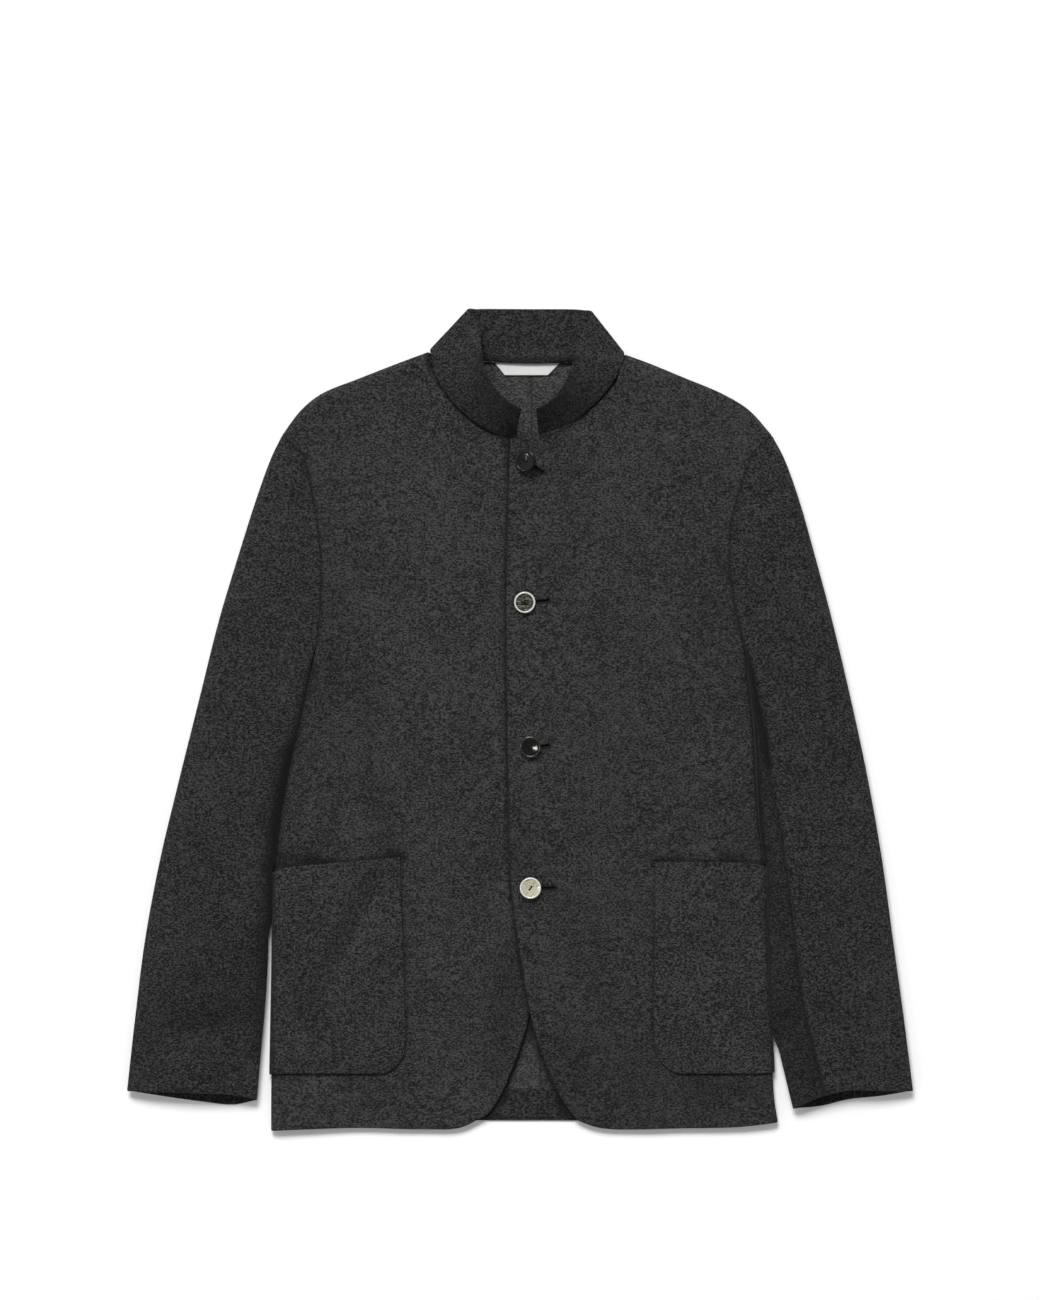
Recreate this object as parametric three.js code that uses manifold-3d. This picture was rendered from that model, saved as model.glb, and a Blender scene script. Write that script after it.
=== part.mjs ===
import * as THREE from "three";
import { mergeVertices } from "three/addons/utils/BufferGeometryUtils.js";
import Module from "manifold-3d";

// A mao jacket in brushed charcoal wool, laid flat on its back.
// Millimetres. X runs to the wearer's left, Y towards the collar, Z up from the surface.
// Left and right are the wearer's. The middle of the jacket's box is at X 0, Y 0.

// Cloth and seams
const cloth = 1.8;
const pocketCloth = 1.6;
const collarCloth = 2.4;
const turnupCloth = 1.2;
const labelCloth = 0.6;
const seamGap = 0.3;
const layGap = 0.5;
const collarSeamShare = 0.02;

// How high the folded edges lie, and how far in the cloth rounds over at them
const sideFold = { height: 4, round: 7 };
const shoulderFold = { height: 4.5, round: 10 };
const sleeveFold = { height: 6.5, round: 10, mostOfWidth: 0.4 };

// Height of the fronts' outer face above the surface
const frontTop = 5.8;
const lapUnder = 4.3;
const lapOver = 6.7;
const lap = { flatTo: 28, riseTo: 56, endTop: -285, endBottom: -335 };
const armholeSpread = 48;
const shoulderRise = { height: 2.6, spread: 34 };

// The pocket lies plain up to here from the side fold
const pocketFlatEnd = 14;

// Lower corners of the pockets as shares of the corner's size, and how late the mouth bends at the side
const pocketCorner = { depth: 0.86, reach: 0.985 };
const mouthBend = 6;

// Sleeve crown above the surface, from armhole to cuff, and the shares of the length where it sets in
const sleeveCrown = { head: 15.5, elbow: 15, cuff: 12.5, edgeShare: 0.7, round: 0.8, crownBy: 0.1 };
const sleeveFoldBy = 0.12;
const sleeveLength = 640;
const armholeLength = 220;

// The left forearm seam, as a share across the flat: at the armhole, then lower down
const forearm = { armhole: 5 / 6, below: 0.76, settledBy: 0.3, strip: 11 / 12 };

// Share of the side edge that is the side fold, the rest being armhole; and of the top that is neckline
const underarmShare = 0.66;
const neckShare = 0.44;
const underarmBlend = 0.035;
const neckBlend = 0.1;

// Last flat share before a side fold, the rows' distance from the underarm, and the back's columns
const lastFlat = 0.93;
const underarmClear = 0.02;
const backShares = [0, 0.12, 0.24, 0.48, 0.72, lastFlat];

// Buttons
const button = { radius: 10, thick: 3.6, dish: 1.1, rim: 1.7, hole: 1.1, holeApart: 3.6, gap: 0.3 };
const buttonShape = { foot: 0.8, widestAt: 0.45, bevel: 0.4, floor: 0.5, deepest: 1.3 };
const buttonSides = { rim: 22, hole: 8 };

// Sections across the body, from hem to underarm: the side folds
const sideSections = [
  { y: -386, right: -236.5, left: 245.1 },
  { y: -360, right: -236.5, left: 241.6 },
  { y: -318, right: -236, left: 239.4 },
  { y: -241, right: -234.6, left: 235 },
  { y: -171, right: -234, left: 233.6 },
  { y: -141, right: -233.6, left: 232.8 },
  { y: -100, right: -230, left: 228 },
  { y: -59, right: -223.2, left: 225.2 },
  { y: -29, right: -216.6, left: 224 },
  { y: 18, right: -206.1, left: 220.2 },
  { y: 52, right: -198.4, left: 215.9 },
];

// Armhole seam, from underarm to shoulder tip
const armholeSections = [
  { y: 52, right: -198.4, left: 215.9 },
  { y: 75, right: -192.8, left: 211.4 },
  { y: 110, right: -189.0, left: 202.8 },
  { y: 152, right: -188.8, left: 198.4 },
  { y: 190, right: -192.6, left: 200.6 },
  { y: 222, right: -198.4, left: 209.9 },
  { y: 251, right: -205.6, left: 219.8 },
  { y: 270, right: -226.1, left: 239.4 },
];

// Shoulder line, from neck to tip
const shoulderSections = [
  { right: -87.4, rightY: 349.1, left: 100.7, leftY: 346.5 },
  { right: -113, rightY: 339.6, left: 119.7, leftY: 339.6 },
  { right: -152, rightY: 324.4, left: 156.8, leftY: 324.4 },
  { right: -189, rightY: 309.2, left: 192.8, leftY: 309.2 },
  { right: -208, rightY: 294, left: 217.5, leftY: 294 },
  { right: -226.1, rightY: 270, left: 239.4, leftY: 270 },
];

// Neckline of each front, from the front edge round to the shoulder
const neckRight = [
  { x: 25.6, y: 267.4 },
  { x: -8.5, y: 267.4 },
  { x: -29.4, y: 273.1 },
  { x: -43.7, y: 281.7 },
  { x: -57.9, y: 293.1 },
  { x: -70.3, y: 307.3 },
  { x: -80.8, y: 323.5 },
  { x: -87.4, y: 349.1 },
];
const neckLeft = [
  { x: -9.5, y: 267.4 },
  { x: 20.9, y: 268.4 },
  { x: 44.6, y: 277.9 },
  { x: 62.7, y: 290.2 },
  { x: 77, y: 303.5 },
  { x: 89.3, y: 317.8 },
  { x: 96.9, y: 330.1 },
  { x: 100.7, y: 346.5 },
];

// Front edge of each front, from the round of the hem up to the neck
const frontEdgeRight = [
  { x: -38, y: -379 },
  { x: -30.4, y: -374.8 },
  { x: -19, y: -358.6 },
  { x: -9.5, y: -337.7 },
  { x: 4.8, y: -297.8 },
  { x: 12.3, y: -261.7 },
  { x: 21.8, y: -211.4 },
  { x: 25.6, y: -156.3 },
  { x: 24.7, y: -29 },
  { x: 23.8, y: 109.7 },
  { x: 25.6, y: 267.4 },
];
const frontEdgeLeft = [
  { x: 55.6, y: -381.4 },
  { x: 47.5, y: -372.9 },
  { x: 38.9, y: -359.6 },
  { x: 30.4, y: -343.4 },
  { x: 14.2, y: -297.8 },
  { x: 6.2, y: -261.7 },
  { x: -1.9, y: -211.4 },
  { x: -8.5, y: -156.3 },
  { x: -11.9, y: -29 },
  { x: -13.3, y: 109.7 },
  { x: -9.5, y: 267.4 },
];

// Hems, from the front edge out to the side
const hemRight = [
  { x: -38, y: -379 },
  { x: -57, y: -388 },
  { x: -95, y: -389.4 },
  { x: -152, y: -388.1 },
  { x: -190.9, y: -389 },
  { x: -236.5, y: -390.9 },
];
const hemLeft = [
  { x: 55.6, y: -381.4 },
  { x: 71.2, y: -387.1 },
  { x: 88.3, y: -389.4 },
  { x: 152, y: -388.6 },
  { x: 209.9, y: -387.1 },
  { x: 245.1, y: -382.8 },
];

// Back: centre seam, hem and neck
const backSeam = [
  { x: 19.9, y: -381.4 },
  { x: 17.1, y: -171.5 },
  { x: 13.3, y: 113.5 },
  { x: 10.4, y: 337.7 },
];
const backHem = { rightY: -390, leftY: -382.4, dipRight: { x: -133, y: -382.4 } };
const backNeckRight = [
  { x: 10.4, y: 337.7 },
  { x: -36.1, y: 340.1 },
  { x: -71.2, y: 343.4 },
  { x: -87.4, y: 349.1 },
];
const backNeckLeft = [
  { x: 10.4, y: 337.7 },
  { x: 50.3, y: 339.6 },
  { x: 80.8, y: 342.4 },
  { x: 100.7, y: 346.5 },
];
const turnup = { right: -76, left: 95, top: -350.6, bottom: -378.5, endDrop: 0.75 };

// Sleeve sections, from armhole to cuff: outer and inner fold
const sleeveRight = [
  { outer: -226.1, outerY: 270, inner: -198.4, innerY: 52 },
  { outer: -236.5, outerY: 248.4, inner: -206.9, innerY: 17.6 },
  { outer: -250.8, outerY: 208.5, inner: -217.4, innerY: -29 },
  { outer: -268.8, outerY: 151.5, inner: -224, innerY: -59 },
  { outer: -285.9, outerY: 94.5, inner: -231.6, innerY: -100.2 },
  { outer: -304.9, outerY: 18.5, inner: -236.8, innerY: -141.1 },
  { outer: -323.9, outerY: -57.5, inner: -238.4, innerY: -198.1 },
  { outer: -342, outerY: -133.5, inner: -240.4, innerY: -247.5 },
  { outer: -356.2, outerY: -209.5, inner: -243.2, innerY: -285.5 },
  { outer: -365.8, outerY: -285.5, inner: -246.8, innerY: -325 },
  { outer: -373.3, outerY: -352.9, inner: -249.8, innerY: -361.5 },
];
const sleeveLeft = [
  { outer: 239.4, outerY: 270, inner: 215.9, innerY: 52 },
  { outer: 250.8, outerY: 248.4, inner: 221, innerY: 18 },
  { outer: 265.1, outerY: 208.5, inner: 224.8, innerY: -29 },
  { outer: 281.2, outerY: 151.5, inner: 226.2, innerY: -62 },
  { outer: 296.4, outerY: 94.5, inner: 229.4, innerY: -102 },
  { outer: 314.4, outerY: 18.5, inner: 235.9, innerY: -143 },
  { outer: 330.6, outerY: -57.5, inner: 237.3, innerY: -192 },
  { outer: 343.9, outerY: -133.5, inner: 239.4, innerY: -256 },
  { outer: 354.3, outerY: -209.5, inner: 242.6, innerY: -298 },
  { outer: 364.8, outerY: -285.5, inner: 250.2, innerY: -332 },
  { outer: 373.3, outerY: -352.9, inner: 259.3, innerY: -370 },
];

// Cuff edges: upper layer and the under layer that drops below it
const cuffRight = [
  { x: -373.3, upperY: -352.9, underY: -352.9 },
  { x: -339, upperY: -353.7, underY: -358.4 },
  { x: -306.8, upperY: -354.6, underY: -362.9 },
  { x: -272, upperY: -356.4, underY: -366.2 },
  { x: -249.8, upperY: -361.5, underY: -361.5 },
];
const cuffLeft = [
  { x: 373.3, upperY: -352.9, underY: -352.9 },
  { x: 344, upperY: -352.6, underY: -358 },
  { x: 311.6, upperY: -352, underY: -361.5 },
  { x: 286, upperY: -358, underY: -367.6 },
  { x: 259.3, upperY: -370, underY: -370 },
];

// Height that the fronts gain towards the side fold and the armhole
const edgeRise = [
  { y: -390, rise: 1.4 },
  { y: -130, rise: 1.8 },
  { y: -40, rise: 2.6 },
  { y: 60, rise: 5.4 },
  { y: 160, rise: 6.6 },
  { y: 270, rise: 3.4 },
];

// Largest folds on the fronts: a trough where depth is below 0, a ridge above
const frontFolds = [
  { x1: -143, y1: -150, x2: -200, y2: -268, width: 26, depth: -0.9 },
  { x1: -200, y1: -80, x2: -130, y2: -104, width: 20, depth: -0.8 },
  { x1: 190, y1: -80, x2: 120, y2: -108, width: 20, depth: -0.8 },
  { x1: 205, y1: 130, x2: 235, y2: 108, width: 14, depth: -2.2 },
  { x1: -190, y1: 60, x2: -120, y2: 10, width: 26, depth: 1.1 },
  { x1: 205, y1: 60, x2: 130, y2: 5, width: 26, depth: 1.1 },
];

// Patch pockets: mouth from the side in, then the inner edge and the bottom
const pocketRight = {
  mouthSideY: -140.1, innerX: -114, mouthInnerY: -130.6, lowX: -107.3, bottomY: -336.3, corner: 32,
};
const pocketLeft = {
  mouthSideY: -135.8, innerX: 128.2, mouthInnerY: -134.9, lowX: 126.6, bottomY: -336.3, corner: 34,
};

// Collar sections round the band: seam edge and top edge, each with its height.
// The front ends stand up, the side folds lie over, and the back lies on the surface.
const collarRight = [
  { x: -3.6, y: 268.8, z: 6.4, topX: 1, topY: 293, topZ: 31 },
  { x: -29.4, y: 273.6, z: 7.2, topX: -12.3, topY: 301.1, topZ: 31 },
  { x: -56.4, y: 292, z: 7.6, topX: -25.6, topY: 315.9, topZ: 29.5 },
  { x: -73, y: 311.5, z: 8, topX: -34.2, topY: 333.9, topZ: 26 },
  { x: -81.9, y: 330, z: 8.2, topX: -37.5, topY: 355.8, topZ: 16 },
  { x: -84.2, y: 341.5, z: 8.4, topX: -38.6, topY: 373, topZ: 10 },
  { x: -86.4, y: 350.8, z: 4.6, topX: -49.4, topY: 390.2, topZ: 5.4 },
  { x: -78.5, y: 347, z: 0, topX: -40, topY: 390.4, topZ: 0 },
];
const collarLeft = [
  { x: 17.8, y: 268.8, z: 7.4, topX: 15.4, topY: 293, topZ: 31 },
  { x: 42.6, y: 277.8, z: 7.4, topX: 28.5, topY: 300.7, topZ: 31 },
  { x: 66, y: 293.9, z: 7.6, topX: 39.9, topY: 313.5, topZ: 29.5 },
  { x: 84.2, y: 312.5, z: 8, topX: 47.5, topY: 329.2, topZ: 26 },
  { x: 94, y: 327.6, z: 8.2, topX: 54.1, topY: 349.1, topZ: 20.5 },
  { x: 99.2, y: 340, z: 8.4, topX: 59, topY: 366, topZ: 13 },
  { x: 99.6, y: 348.2, z: 4.6, topX: 68.4, topY: 387.6, topZ: 6.4 },
  { x: 90, y: 344.6, z: 0, topX: 59, topY: 389.6, topZ: 0 },
];
const collarBack = { y: 338.2, topY: 390.2, x: 10.4 };
const collarSteps = { perSection: 3, up: 4, probe: 0.01 };

// Neck label: a plain tapered tab below the back neck seam
const label = {
  topLeft: 38, topRight: -23.8, topY: 338.8, lowLeft: 26.6, lowRight: -14.6, lowY: 327.2, lift: 0.6,
};

// Where each button lies, how far it tips about X and Y, and how far its holes are turned, in degrees
const buttonPlaces = [
  { x: 6.2, y: 245.1, tipX: -5, tipY: -28, turn: -25 },
  { x: 4.4, y: 111.1, tipX: -1, tipY: 2, turn: 96 },
  { x: 10, y: -26.1, tipX: 0, tipY: -5.5, turn: -10 },
  { x: 10, y: -160.1, tipX: -3, tipY: -2, turn: 54 },
];

// Search for a plan point on a patch: where it starts, how far it probes, how often it steps
const search = { u: 0.6, v: 0.2, probe: 1e-3, steps: 8 };

// Finishes
const wool = new THREE.MeshStandardMaterial({ color: 0x37373a, roughness: 0.95, metalness: 0 });
const woolInside = new THREE.MeshStandardMaterial({ color: 0x47474a, roughness: 0.95, metalness: 0 });
const tape = new THREE.MeshStandardMaterial({ color: 0xe4e4e2, roughness: 0.8, metalness: 0 });
const horn = new THREE.MeshStandardMaterial({ color: 0x2b2825, roughness: 0.25, metalness: 0 });

const { lerp, clamp, smoothstep, degToRad } = THREE.MathUtils;

// A smooth path through plan points, by share of its length, running on straight past its ends
function pathThrough(points) {
  const corners = points.map((p) => new THREE.Vector3(p.x, p.y, p.z ?? 0));
  const curve = new THREE.CatmullRomCurve3(corners, false, "centripetal");
  return (share) => {
    const within = clamp(share, 0, 1);
    const past = (share - within) * curve.getLength();
    return curve.getPointAt(within).addScaledVector(curve.getTangentAt(within), past);
  };
}

// Two paths end to end, meeting at the given share
function joined(first, second, split) {
  return (share) => (share < split ? first(share / split) : second((share - split) / (1 - split)));
}

const along = (rows, side) => pathThrough(rows.map((row) => ({ x: row[side], y: row.y })));

// The value of a table's column at a height y, between its rows
function valueAt(rows, y, column) {
  const climbing = rows[0].y < rows[rows.length - 1].y ? rows : [...rows].reverse();
  const next = climbing.findIndex((row) => row.y >= y);
  if (next === 0) return climbing[0][column];
  if (next < 0) return climbing[climbing.length - 1][column];
  const [low, high] = [climbing[next - 1], climbing[next]];
  return lerp(low[column], high[column], (y - low.y) / (high.y - low.y));
}

// A patch of the plan between four edges: near and far run along u, start and end along v
function planPatch(near, far, start, end) {
  const corners = [near(0), near(1), far(0), far(1)];
  return (u, v) => {
    const [a, b, c, d] = [near(u), far(u), start(v), end(v)];
    const blend = (axis) =>
      lerp(a[axis], b[axis], v) + lerp(c[axis], d[axis], u) -
      lerp(lerp(corners[0][axis], corners[1][axis], u), lerp(corners[2][axis], corners[3][axis], u), v);
    return new THREE.Vector3(blend("x"), blend("y"), 0);
  };
}

// A closed wall between two grids of points, outer and inner
function wallBetween(outer, inner) {
  const rows = outer.length;
  const columns = outer[0].length;
  const points = [...outer.flat(), ...inner.flat()];
  const faces = [];
  const place = (layer, row, column) => layer * rows * columns + row * columns + column;
  const quad = (a, b, c, d) => faces.push(a, b, c, a, c, d);
  for (let row = 0; row + 1 < rows; row += 1) {
    for (let column = 0; column + 1 < columns; column += 1) {
      const corner = (layer) => [
        place(layer, row, column), place(layer, row, column + 1),
        place(layer, row + 1, column + 1), place(layer, row + 1, column),
      ];
      quad(...corner(0));
      quad(...corner(1).reverse());
    }
  }
  const rim = [];
  for (let column = 0; column + 1 < columns; column += 1) rim.push([0, column]);
  for (let row = 0; row + 1 < rows; row += 1) rim.push([row, columns - 1]);
  for (let column = columns - 1; column > 0; column -= 1) rim.push([rows - 1, column]);
  for (let row = rows - 1; row > 0; row -= 1) rim.push([row, 0]);
  rim.forEach(([row, column], step) => {
    const [nextRow, nextColumn] = rim[(step + 1) % rim.length];
    quad(
      place(0, nextRow, nextColumn), place(0, row, column),
      place(1, row, column), place(1, nextRow, nextColumn),
    );
  });
  return meshOf(points, faces);
}

// A geometry from points and faces, turned to face outwards
function meshOf(points, faces) {
  let volume = 0;
  for (let i = 0; i < faces.length; i += 3) {
    const [a, b, c] = [points[faces[i]], points[faces[i + 1]], points[faces[i + 2]]];
    volume += a.dot(b.clone().cross(c));
  }
  const turned = volume < 0 ? [...faces].reverse() : faces;
  const geometry = new THREE.BufferGeometry().setFromPoints(points);
  geometry.setIndex(turned);
  return geometry;
}

// Steps across a round fold, from the fold (0 degrees) to the flat (90 degrees)
const foldTurns = [0, 25, 50, 90];

// Distance in from the fold, and share of the full height, at one step of its round
const foldReach = (turn, round) => round * (1 - Math.cos(degToRad(turn)));
const foldDrop = (turn) => 1 - Math.sin(degToRad(turn));

// Height of a front's outer face where it lies open
function frontHeight(x, y, side) {
  const edgeRows = y > armholeSections[0].y ? armholeSections : sideSections;
  const fromEdge = Math.abs(valueAt(edgeRows, y, side)) - Math.abs(x);
  const rise = valueAt(edgeRise, y, "rise") * Math.exp(-((Math.max(fromEdge, 0) / armholeSpread) ** 2));
  const shoulderRows = shoulderSections.map((row) => ({ y: Math.abs(row[side]), at: row[side + "Y"] }));
  const below = Math.max(valueAt(shoulderRows, Math.abs(x), "at") - y, 0);
  const shoulder = shoulderRise.height * Math.exp(-((below / shoulderRise.spread) ** 2));
  const folds = frontFolds.reduce((sum, fold) => sum + foldDepth(fold, x, y), 0);
  return lapHeight(x, y, side) + Math.max(rise, shoulder) + folds;
}

// The lap: the right front lies low under it and the left front rides over
function lapHeight(x, y, side) {
  const onLap = 1 - smoothstep(Math.abs(x), lap.flatTo, lap.riseTo);
  const above = smoothstep(y, lap.endBottom, lap.endTop);
  const level = side === "right" ? lapUnder : lapOver;
  return lerp(frontTop, level, onLap * above);
}

function foldDepth(fold, x, y) {
  const line = new THREE.Line3(new THREE.Vector3(fold.x1, fold.y1, 0), new THREE.Vector3(fold.x2, fold.y2, 0));
  const point = new THREE.Vector3(x, y, 0);
  const away = line.closestPointToPoint(point, true, new THREE.Vector3()).distanceTo(point);
  return fold.depth * Math.exp(-((away / fold.width) ** 2));
}

// Rows and columns of a body panel: shares of the flat, then the round of the fold
function foldedSteps(flatShares) {
  const flat = flatShares.map((share) => ({ share, turn: 90, onFold: false }));
  const fold = [...foldTurns].reverse().map((turn) => ({ share: 1, turn, onFold: true }));
  return [...flat, ...fold];
}

function evenSteps(count, from = 0, to = 1) {
  return Array.from({ length: count + 1 }, (_, i) => lerp(from, to, i / count));
}

// A body panel: u from the middle (0) to the side (1), v from the hem (0) to the shoulder (1)
function bodyPanel(plan, options) {
  const { height, seamHeight, middleGap } = options;
  return (column, row, inset) => {
    const flatU = column.share;
    const flatV = row.share;
    const width = plan(0, flatV).distanceTo(plan(1, flatV));
    const length = plan(flatU, 0).distanceTo(plan(flatU, 1));
    const sideRound = 1 - smoothstep(flatV, underarmShare, underarmShare + underarmBlend);
    const topRound = smoothstep(flatU, neckShare - neckBlend, neckShare);
    const cosSide = Math.cos(degToRad(column.turn));
    const cosTop = Math.cos(degToRad(row.turn));
    const fromSide = foldReach(column.turn, sideFold.round) + inset * sideRound * cosSide +
      (seamGap / 2) * (1 - sideRound);
    const fromTop = foldReach(row.turn, shoulderFold.round) + inset * topRound * cosTop +
      (seamGap / 2) * (1 - topRound);
    const middle = middleGap / width;
    const u = column.onFold ? 1 - fromSide / width : lerp(middle, 1, flatU);
    const v = row.onFold ? 1 - fromTop / length : flatV;
    const at = plan(u, v);
    const open = (1 - sideRound * foldDrop(column.turn)) * (1 - topRound * foldDrop(row.turn));
    const fold = lerp(sideFold.height, shoulderFold.height, smoothstep(flatV, underarmShare, 1));
    const seam = fold + seamHeight;
    at.z = seam + (height(at.x, at.y, inset) - seam) * open;
    return at;
  };
}

function gridOf(surface, columns, rows, inset) {
  return rows.map((row) => columns.map((column) => surface(column, row, inset)));
}

function panelWall(surface, columns, rows, thickness) {
  return wallBetween(gridOf(surface, columns, rows, 0), gridOf(surface, columns, rows, thickness));
}

// The side edge starts at the hem's own end, so the hem keeps its line
function sideEdge(side, hemEnd) {
  const above = sideSections.slice(1).map((row) => ({ x: row[side], y: row.y }));
  return joined(pathThrough([hemEnd, ...above]), along(armholeSections, side), underarmShare);
}

const shoulderEdge = (side) =>
  pathThrough(shoulderSections.map((row) => ({ x: row[side], y: row[side + "Y"] })));

const frontPlans = {
  right: planPatch(
    pathThrough(hemRight), joined(pathThrough(neckRight), shoulderEdge("right"), neckShare),
    pathThrough(frontEdgeRight), sideEdge("right", hemRight.at(-1)),
  ),
  left: planPatch(
    pathThrough(hemLeft), joined(pathThrough(neckLeft), shoulderEdge("left"), neckShare),
    pathThrough(frontEdgeLeft), sideEdge("left", hemLeft.at(-1)),
  ),
};

// Rows up the armhole fall where the steps round the sleeve do, so the two edges run alike
const sleeveFlatSteps = [...evenSteps(6).slice(1, -1), forearm.strip];
const armholeShares = [
  ...foldTurns.map((turn) => foldReach(turn, sleeveFold.round) / armholeLength),
  ...[...sleeveFlatSteps].reverse().map((share) =>
    lerp(armholeLength - sleeveFold.round, sleeveFold.round, share) / armholeLength),
];
const frontColumns = foldedSteps([
  ...evenSteps(7, 0, neckShare),
  ...evenSteps(5, neckShare, lastFlat).slice(1),
]);
const frontRows = foldedSteps([
  ...evenSteps(11, 0, underarmShare - underarmClear),
  ...armholeShares.map((share) => lerp(underarmShare, 1, share)),
]);

const frontSurface = (side) =>
  bodyPanel(frontPlans[side], {
    height: (x, y, inset) => frontHeight(x, y, side) - inset,
    seamHeight: seamGap / 2,
    middleGap: 0,
  });

const makeFront = (side) => panelWall(frontSurface(side), frontColumns, frontRows, cloth);

// Back halves lie on the surface
function makeBack(side) {
  const hemEnd = { x: sideSections[0][side], y: backHem[`${side}Y`] };
  const hem = pathThrough(side === "right" ? [backSeam[0], backHem.dipRight, hemEnd] : [backSeam[0], hemEnd]);
  const neck = pathThrough(side === "right" ? backNeckRight : backNeckLeft);
  const top = joined(neck, shoulderEdge(side), neckShare);
  const plan = planPatch(hem, top, pathThrough(backSeam), sideEdge(side, hemEnd));
  const surface = bodyPanel(plan, {
    height: (x, y, inset) => inset,
    seamHeight: -seamGap / 2,
    middleGap: seamGap / 2,
  });
  return panelWall(surface, foldedSteps(backShares), frontRows, cloth);
}

// Hem of the back, turned up inside
function makeTurnup() {
  const level = (z) =>
    evenSteps(3).map((v) =>
      evenSteps(8).map((u) => {
        const drop = turnup.endDrop * Math.abs(u * 2 - 1);
        const y = lerp(turnup.bottom - drop, turnup.top, v);
        return new THREE.Vector3(lerp(turnup.right, turnup.left, u), y, z);
      }));
  const base = cloth + seamGap;
  return wallBetween(level(base + turnupCloth), level(base));
}

// Where a plan point lies on a patch, by a few steps of Newton's rule
function placeOn(plan, x, y) {
  let { u, v } = search;
  for (let step = 0; step < search.steps; step += 1) {
    const here = plan(u, v);
    const du = plan(u + search.probe, v).sub(here).divideScalar(search.probe);
    const dv = plan(u, v + search.probe).sub(here).divideScalar(search.probe);
    const det = du.x * dv.y - dv.x * du.y;
    u += ((x - here.x) * dv.y - (y - here.y) * dv.x) / det;
    v += ((y - here.y) * du.x - (x - here.x) * du.y) / det;
  }
  return { u, v };
}

// A pocket is its front's own surface, moved out, inside the pocket's outline
function makePocket(side) {
  const size = side === "right" ? pocketRight : pocketLeft;
  const out = Math.sign(size.innerX);
  const plan = frontPlans[side];
  const surface = frontSurface(side);
  const levels = [
    ...evenSteps(4, size.bottomY, size.bottomY + size.corner),
    ...evenSteps(6, size.bottomY + size.corner, size.mouthInnerY).slice(1),
  ];
  const cornerInset = (y) => {
    const into = clamp((size.bottomY + size.corner - y) / size.corner, 0, 1);
    return size.corner * pocketCorner.depth * (1 - Math.sqrt(1 - into * into * pocketCorner.reach));
  };
  const layer = (inset) =>
    levels.map((y) => {
      const up = (y - size.bottomY) / (size.mouthInnerY - size.bottomY);
      const innerX = lerp(size.lowX, size.innerX, up) + out * cornerInset(y);
      const sideY = y + (size.mouthSideY - size.mouthInnerY) * up ** mouthBend;
      const sideX = valueAt(sideSections, sideY, side) - out * pocketFlatEnd;
      const flat = evenSteps(4).map((share) => {
        const place = placeOn(plan, lerp(innerX, sideX, share), lerp(y, sideY, share));
        return surface({ share: place.u, turn: 90, onFold: false }, { share: place.v, turn: 90 }, inset);
      });
      const row = { share: placeOn(plan, sideX, sideY).v, turn: 90, onFold: false };
      const fold = foldedSteps([]).map((column) => surface(column, row, inset));
      return [...flat, ...fold];
    });
  return wallBetween(layer(-layGap - pocketCloth), layer(-layGap));
}

// Sleeves: a ring of steps round the sleeve, each on its upper or under layer
const sleeveRing = [
  ...foldTurns.map((turn) => ({ layer: "upper", edge: "outer", share: 0, turn })),
  ...sleeveFlatSteps.map((share) => ({ layer: "upper", edge: "none", share, turn: 90 })),
  ...[...foldTurns].reverse().map((turn) => ({ layer: "upper", edge: "inner", share: 1, turn })),
  ...foldTurns.slice(1).map((turn) => ({ layer: "under", edge: "inner", share: 1, turn })),
  ...[...sleeveFlatSteps].reverse().map((share) => ({ layer: "under", edge: "none", share, turn: 90 })),
  ...[...foldTurns].reverse().slice(0, -1).map((turn) => ({ layer: "under", edge: "outer", share: 0, turn })),
];

function sleevePlans(rows, cuff) {
  const outer = pathThrough(rows.map((row) => ({ x: row.outer, y: row.outerY })));
  const inner = pathThrough(rows.map((row) => ({ x: row.inner, y: row.innerY })));
  const side = Math.sign(rows[0].outer) < 0 ? "right" : "left";
  const armhole = along([...armholeSections].reverse(), side);
  const cuffEdge = (column) => pathThrough(cuff.map((row) => ({ x: row.x, y: row[column] })));
  return {
    upper: planPatch(armhole, cuffEdge("upperY"), outer, inner),
    under: planPatch(armhole, cuffEdge("underY"), outer, inner),
    side,
  };
}

// Height of a sleeve's upper layer: the front's own height at the seam, then the sleeve's crown
function crownHeight(plans, u, v) {
  const seam = plans.upper(clamp(u, 0, 1), 0);
  const atSeam = frontHeight(seam.x, seam.y, plans.side);
  const lift = v < 0.5
    ? lerp(sleeveCrown.head, sleeveCrown.elbow, v * 2)
    : lerp(sleeveCrown.elbow, sleeveCrown.cuff, v * 2 - 1);
  const across = Math.sin(Math.PI * clamp(u, 0, 1)) ** sleeveCrown.round;
  const crown = lift * lerp(sleeveCrown.edgeShare, 1, across);
  return lerp(atSeam, crown, smoothstep(v, 0, sleeveCrown.crownBy));
}

// Share across the flat: on the left upper layer it follows the forearm seam
function shareAcross(plans, step, v) {
  if (plans.side === "right" || step.layer === "under") return step.share;
  const seam = lerp(forearm.armhole, forearm.below, smoothstep(v, 0, forearm.settledBy));
  return step.share <= forearm.armhole
    ? (step.share * seam) / forearm.armhole
    : 1 - ((1 - step.share) * (1 - seam)) / (1 - forearm.armhole);
}

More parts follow.
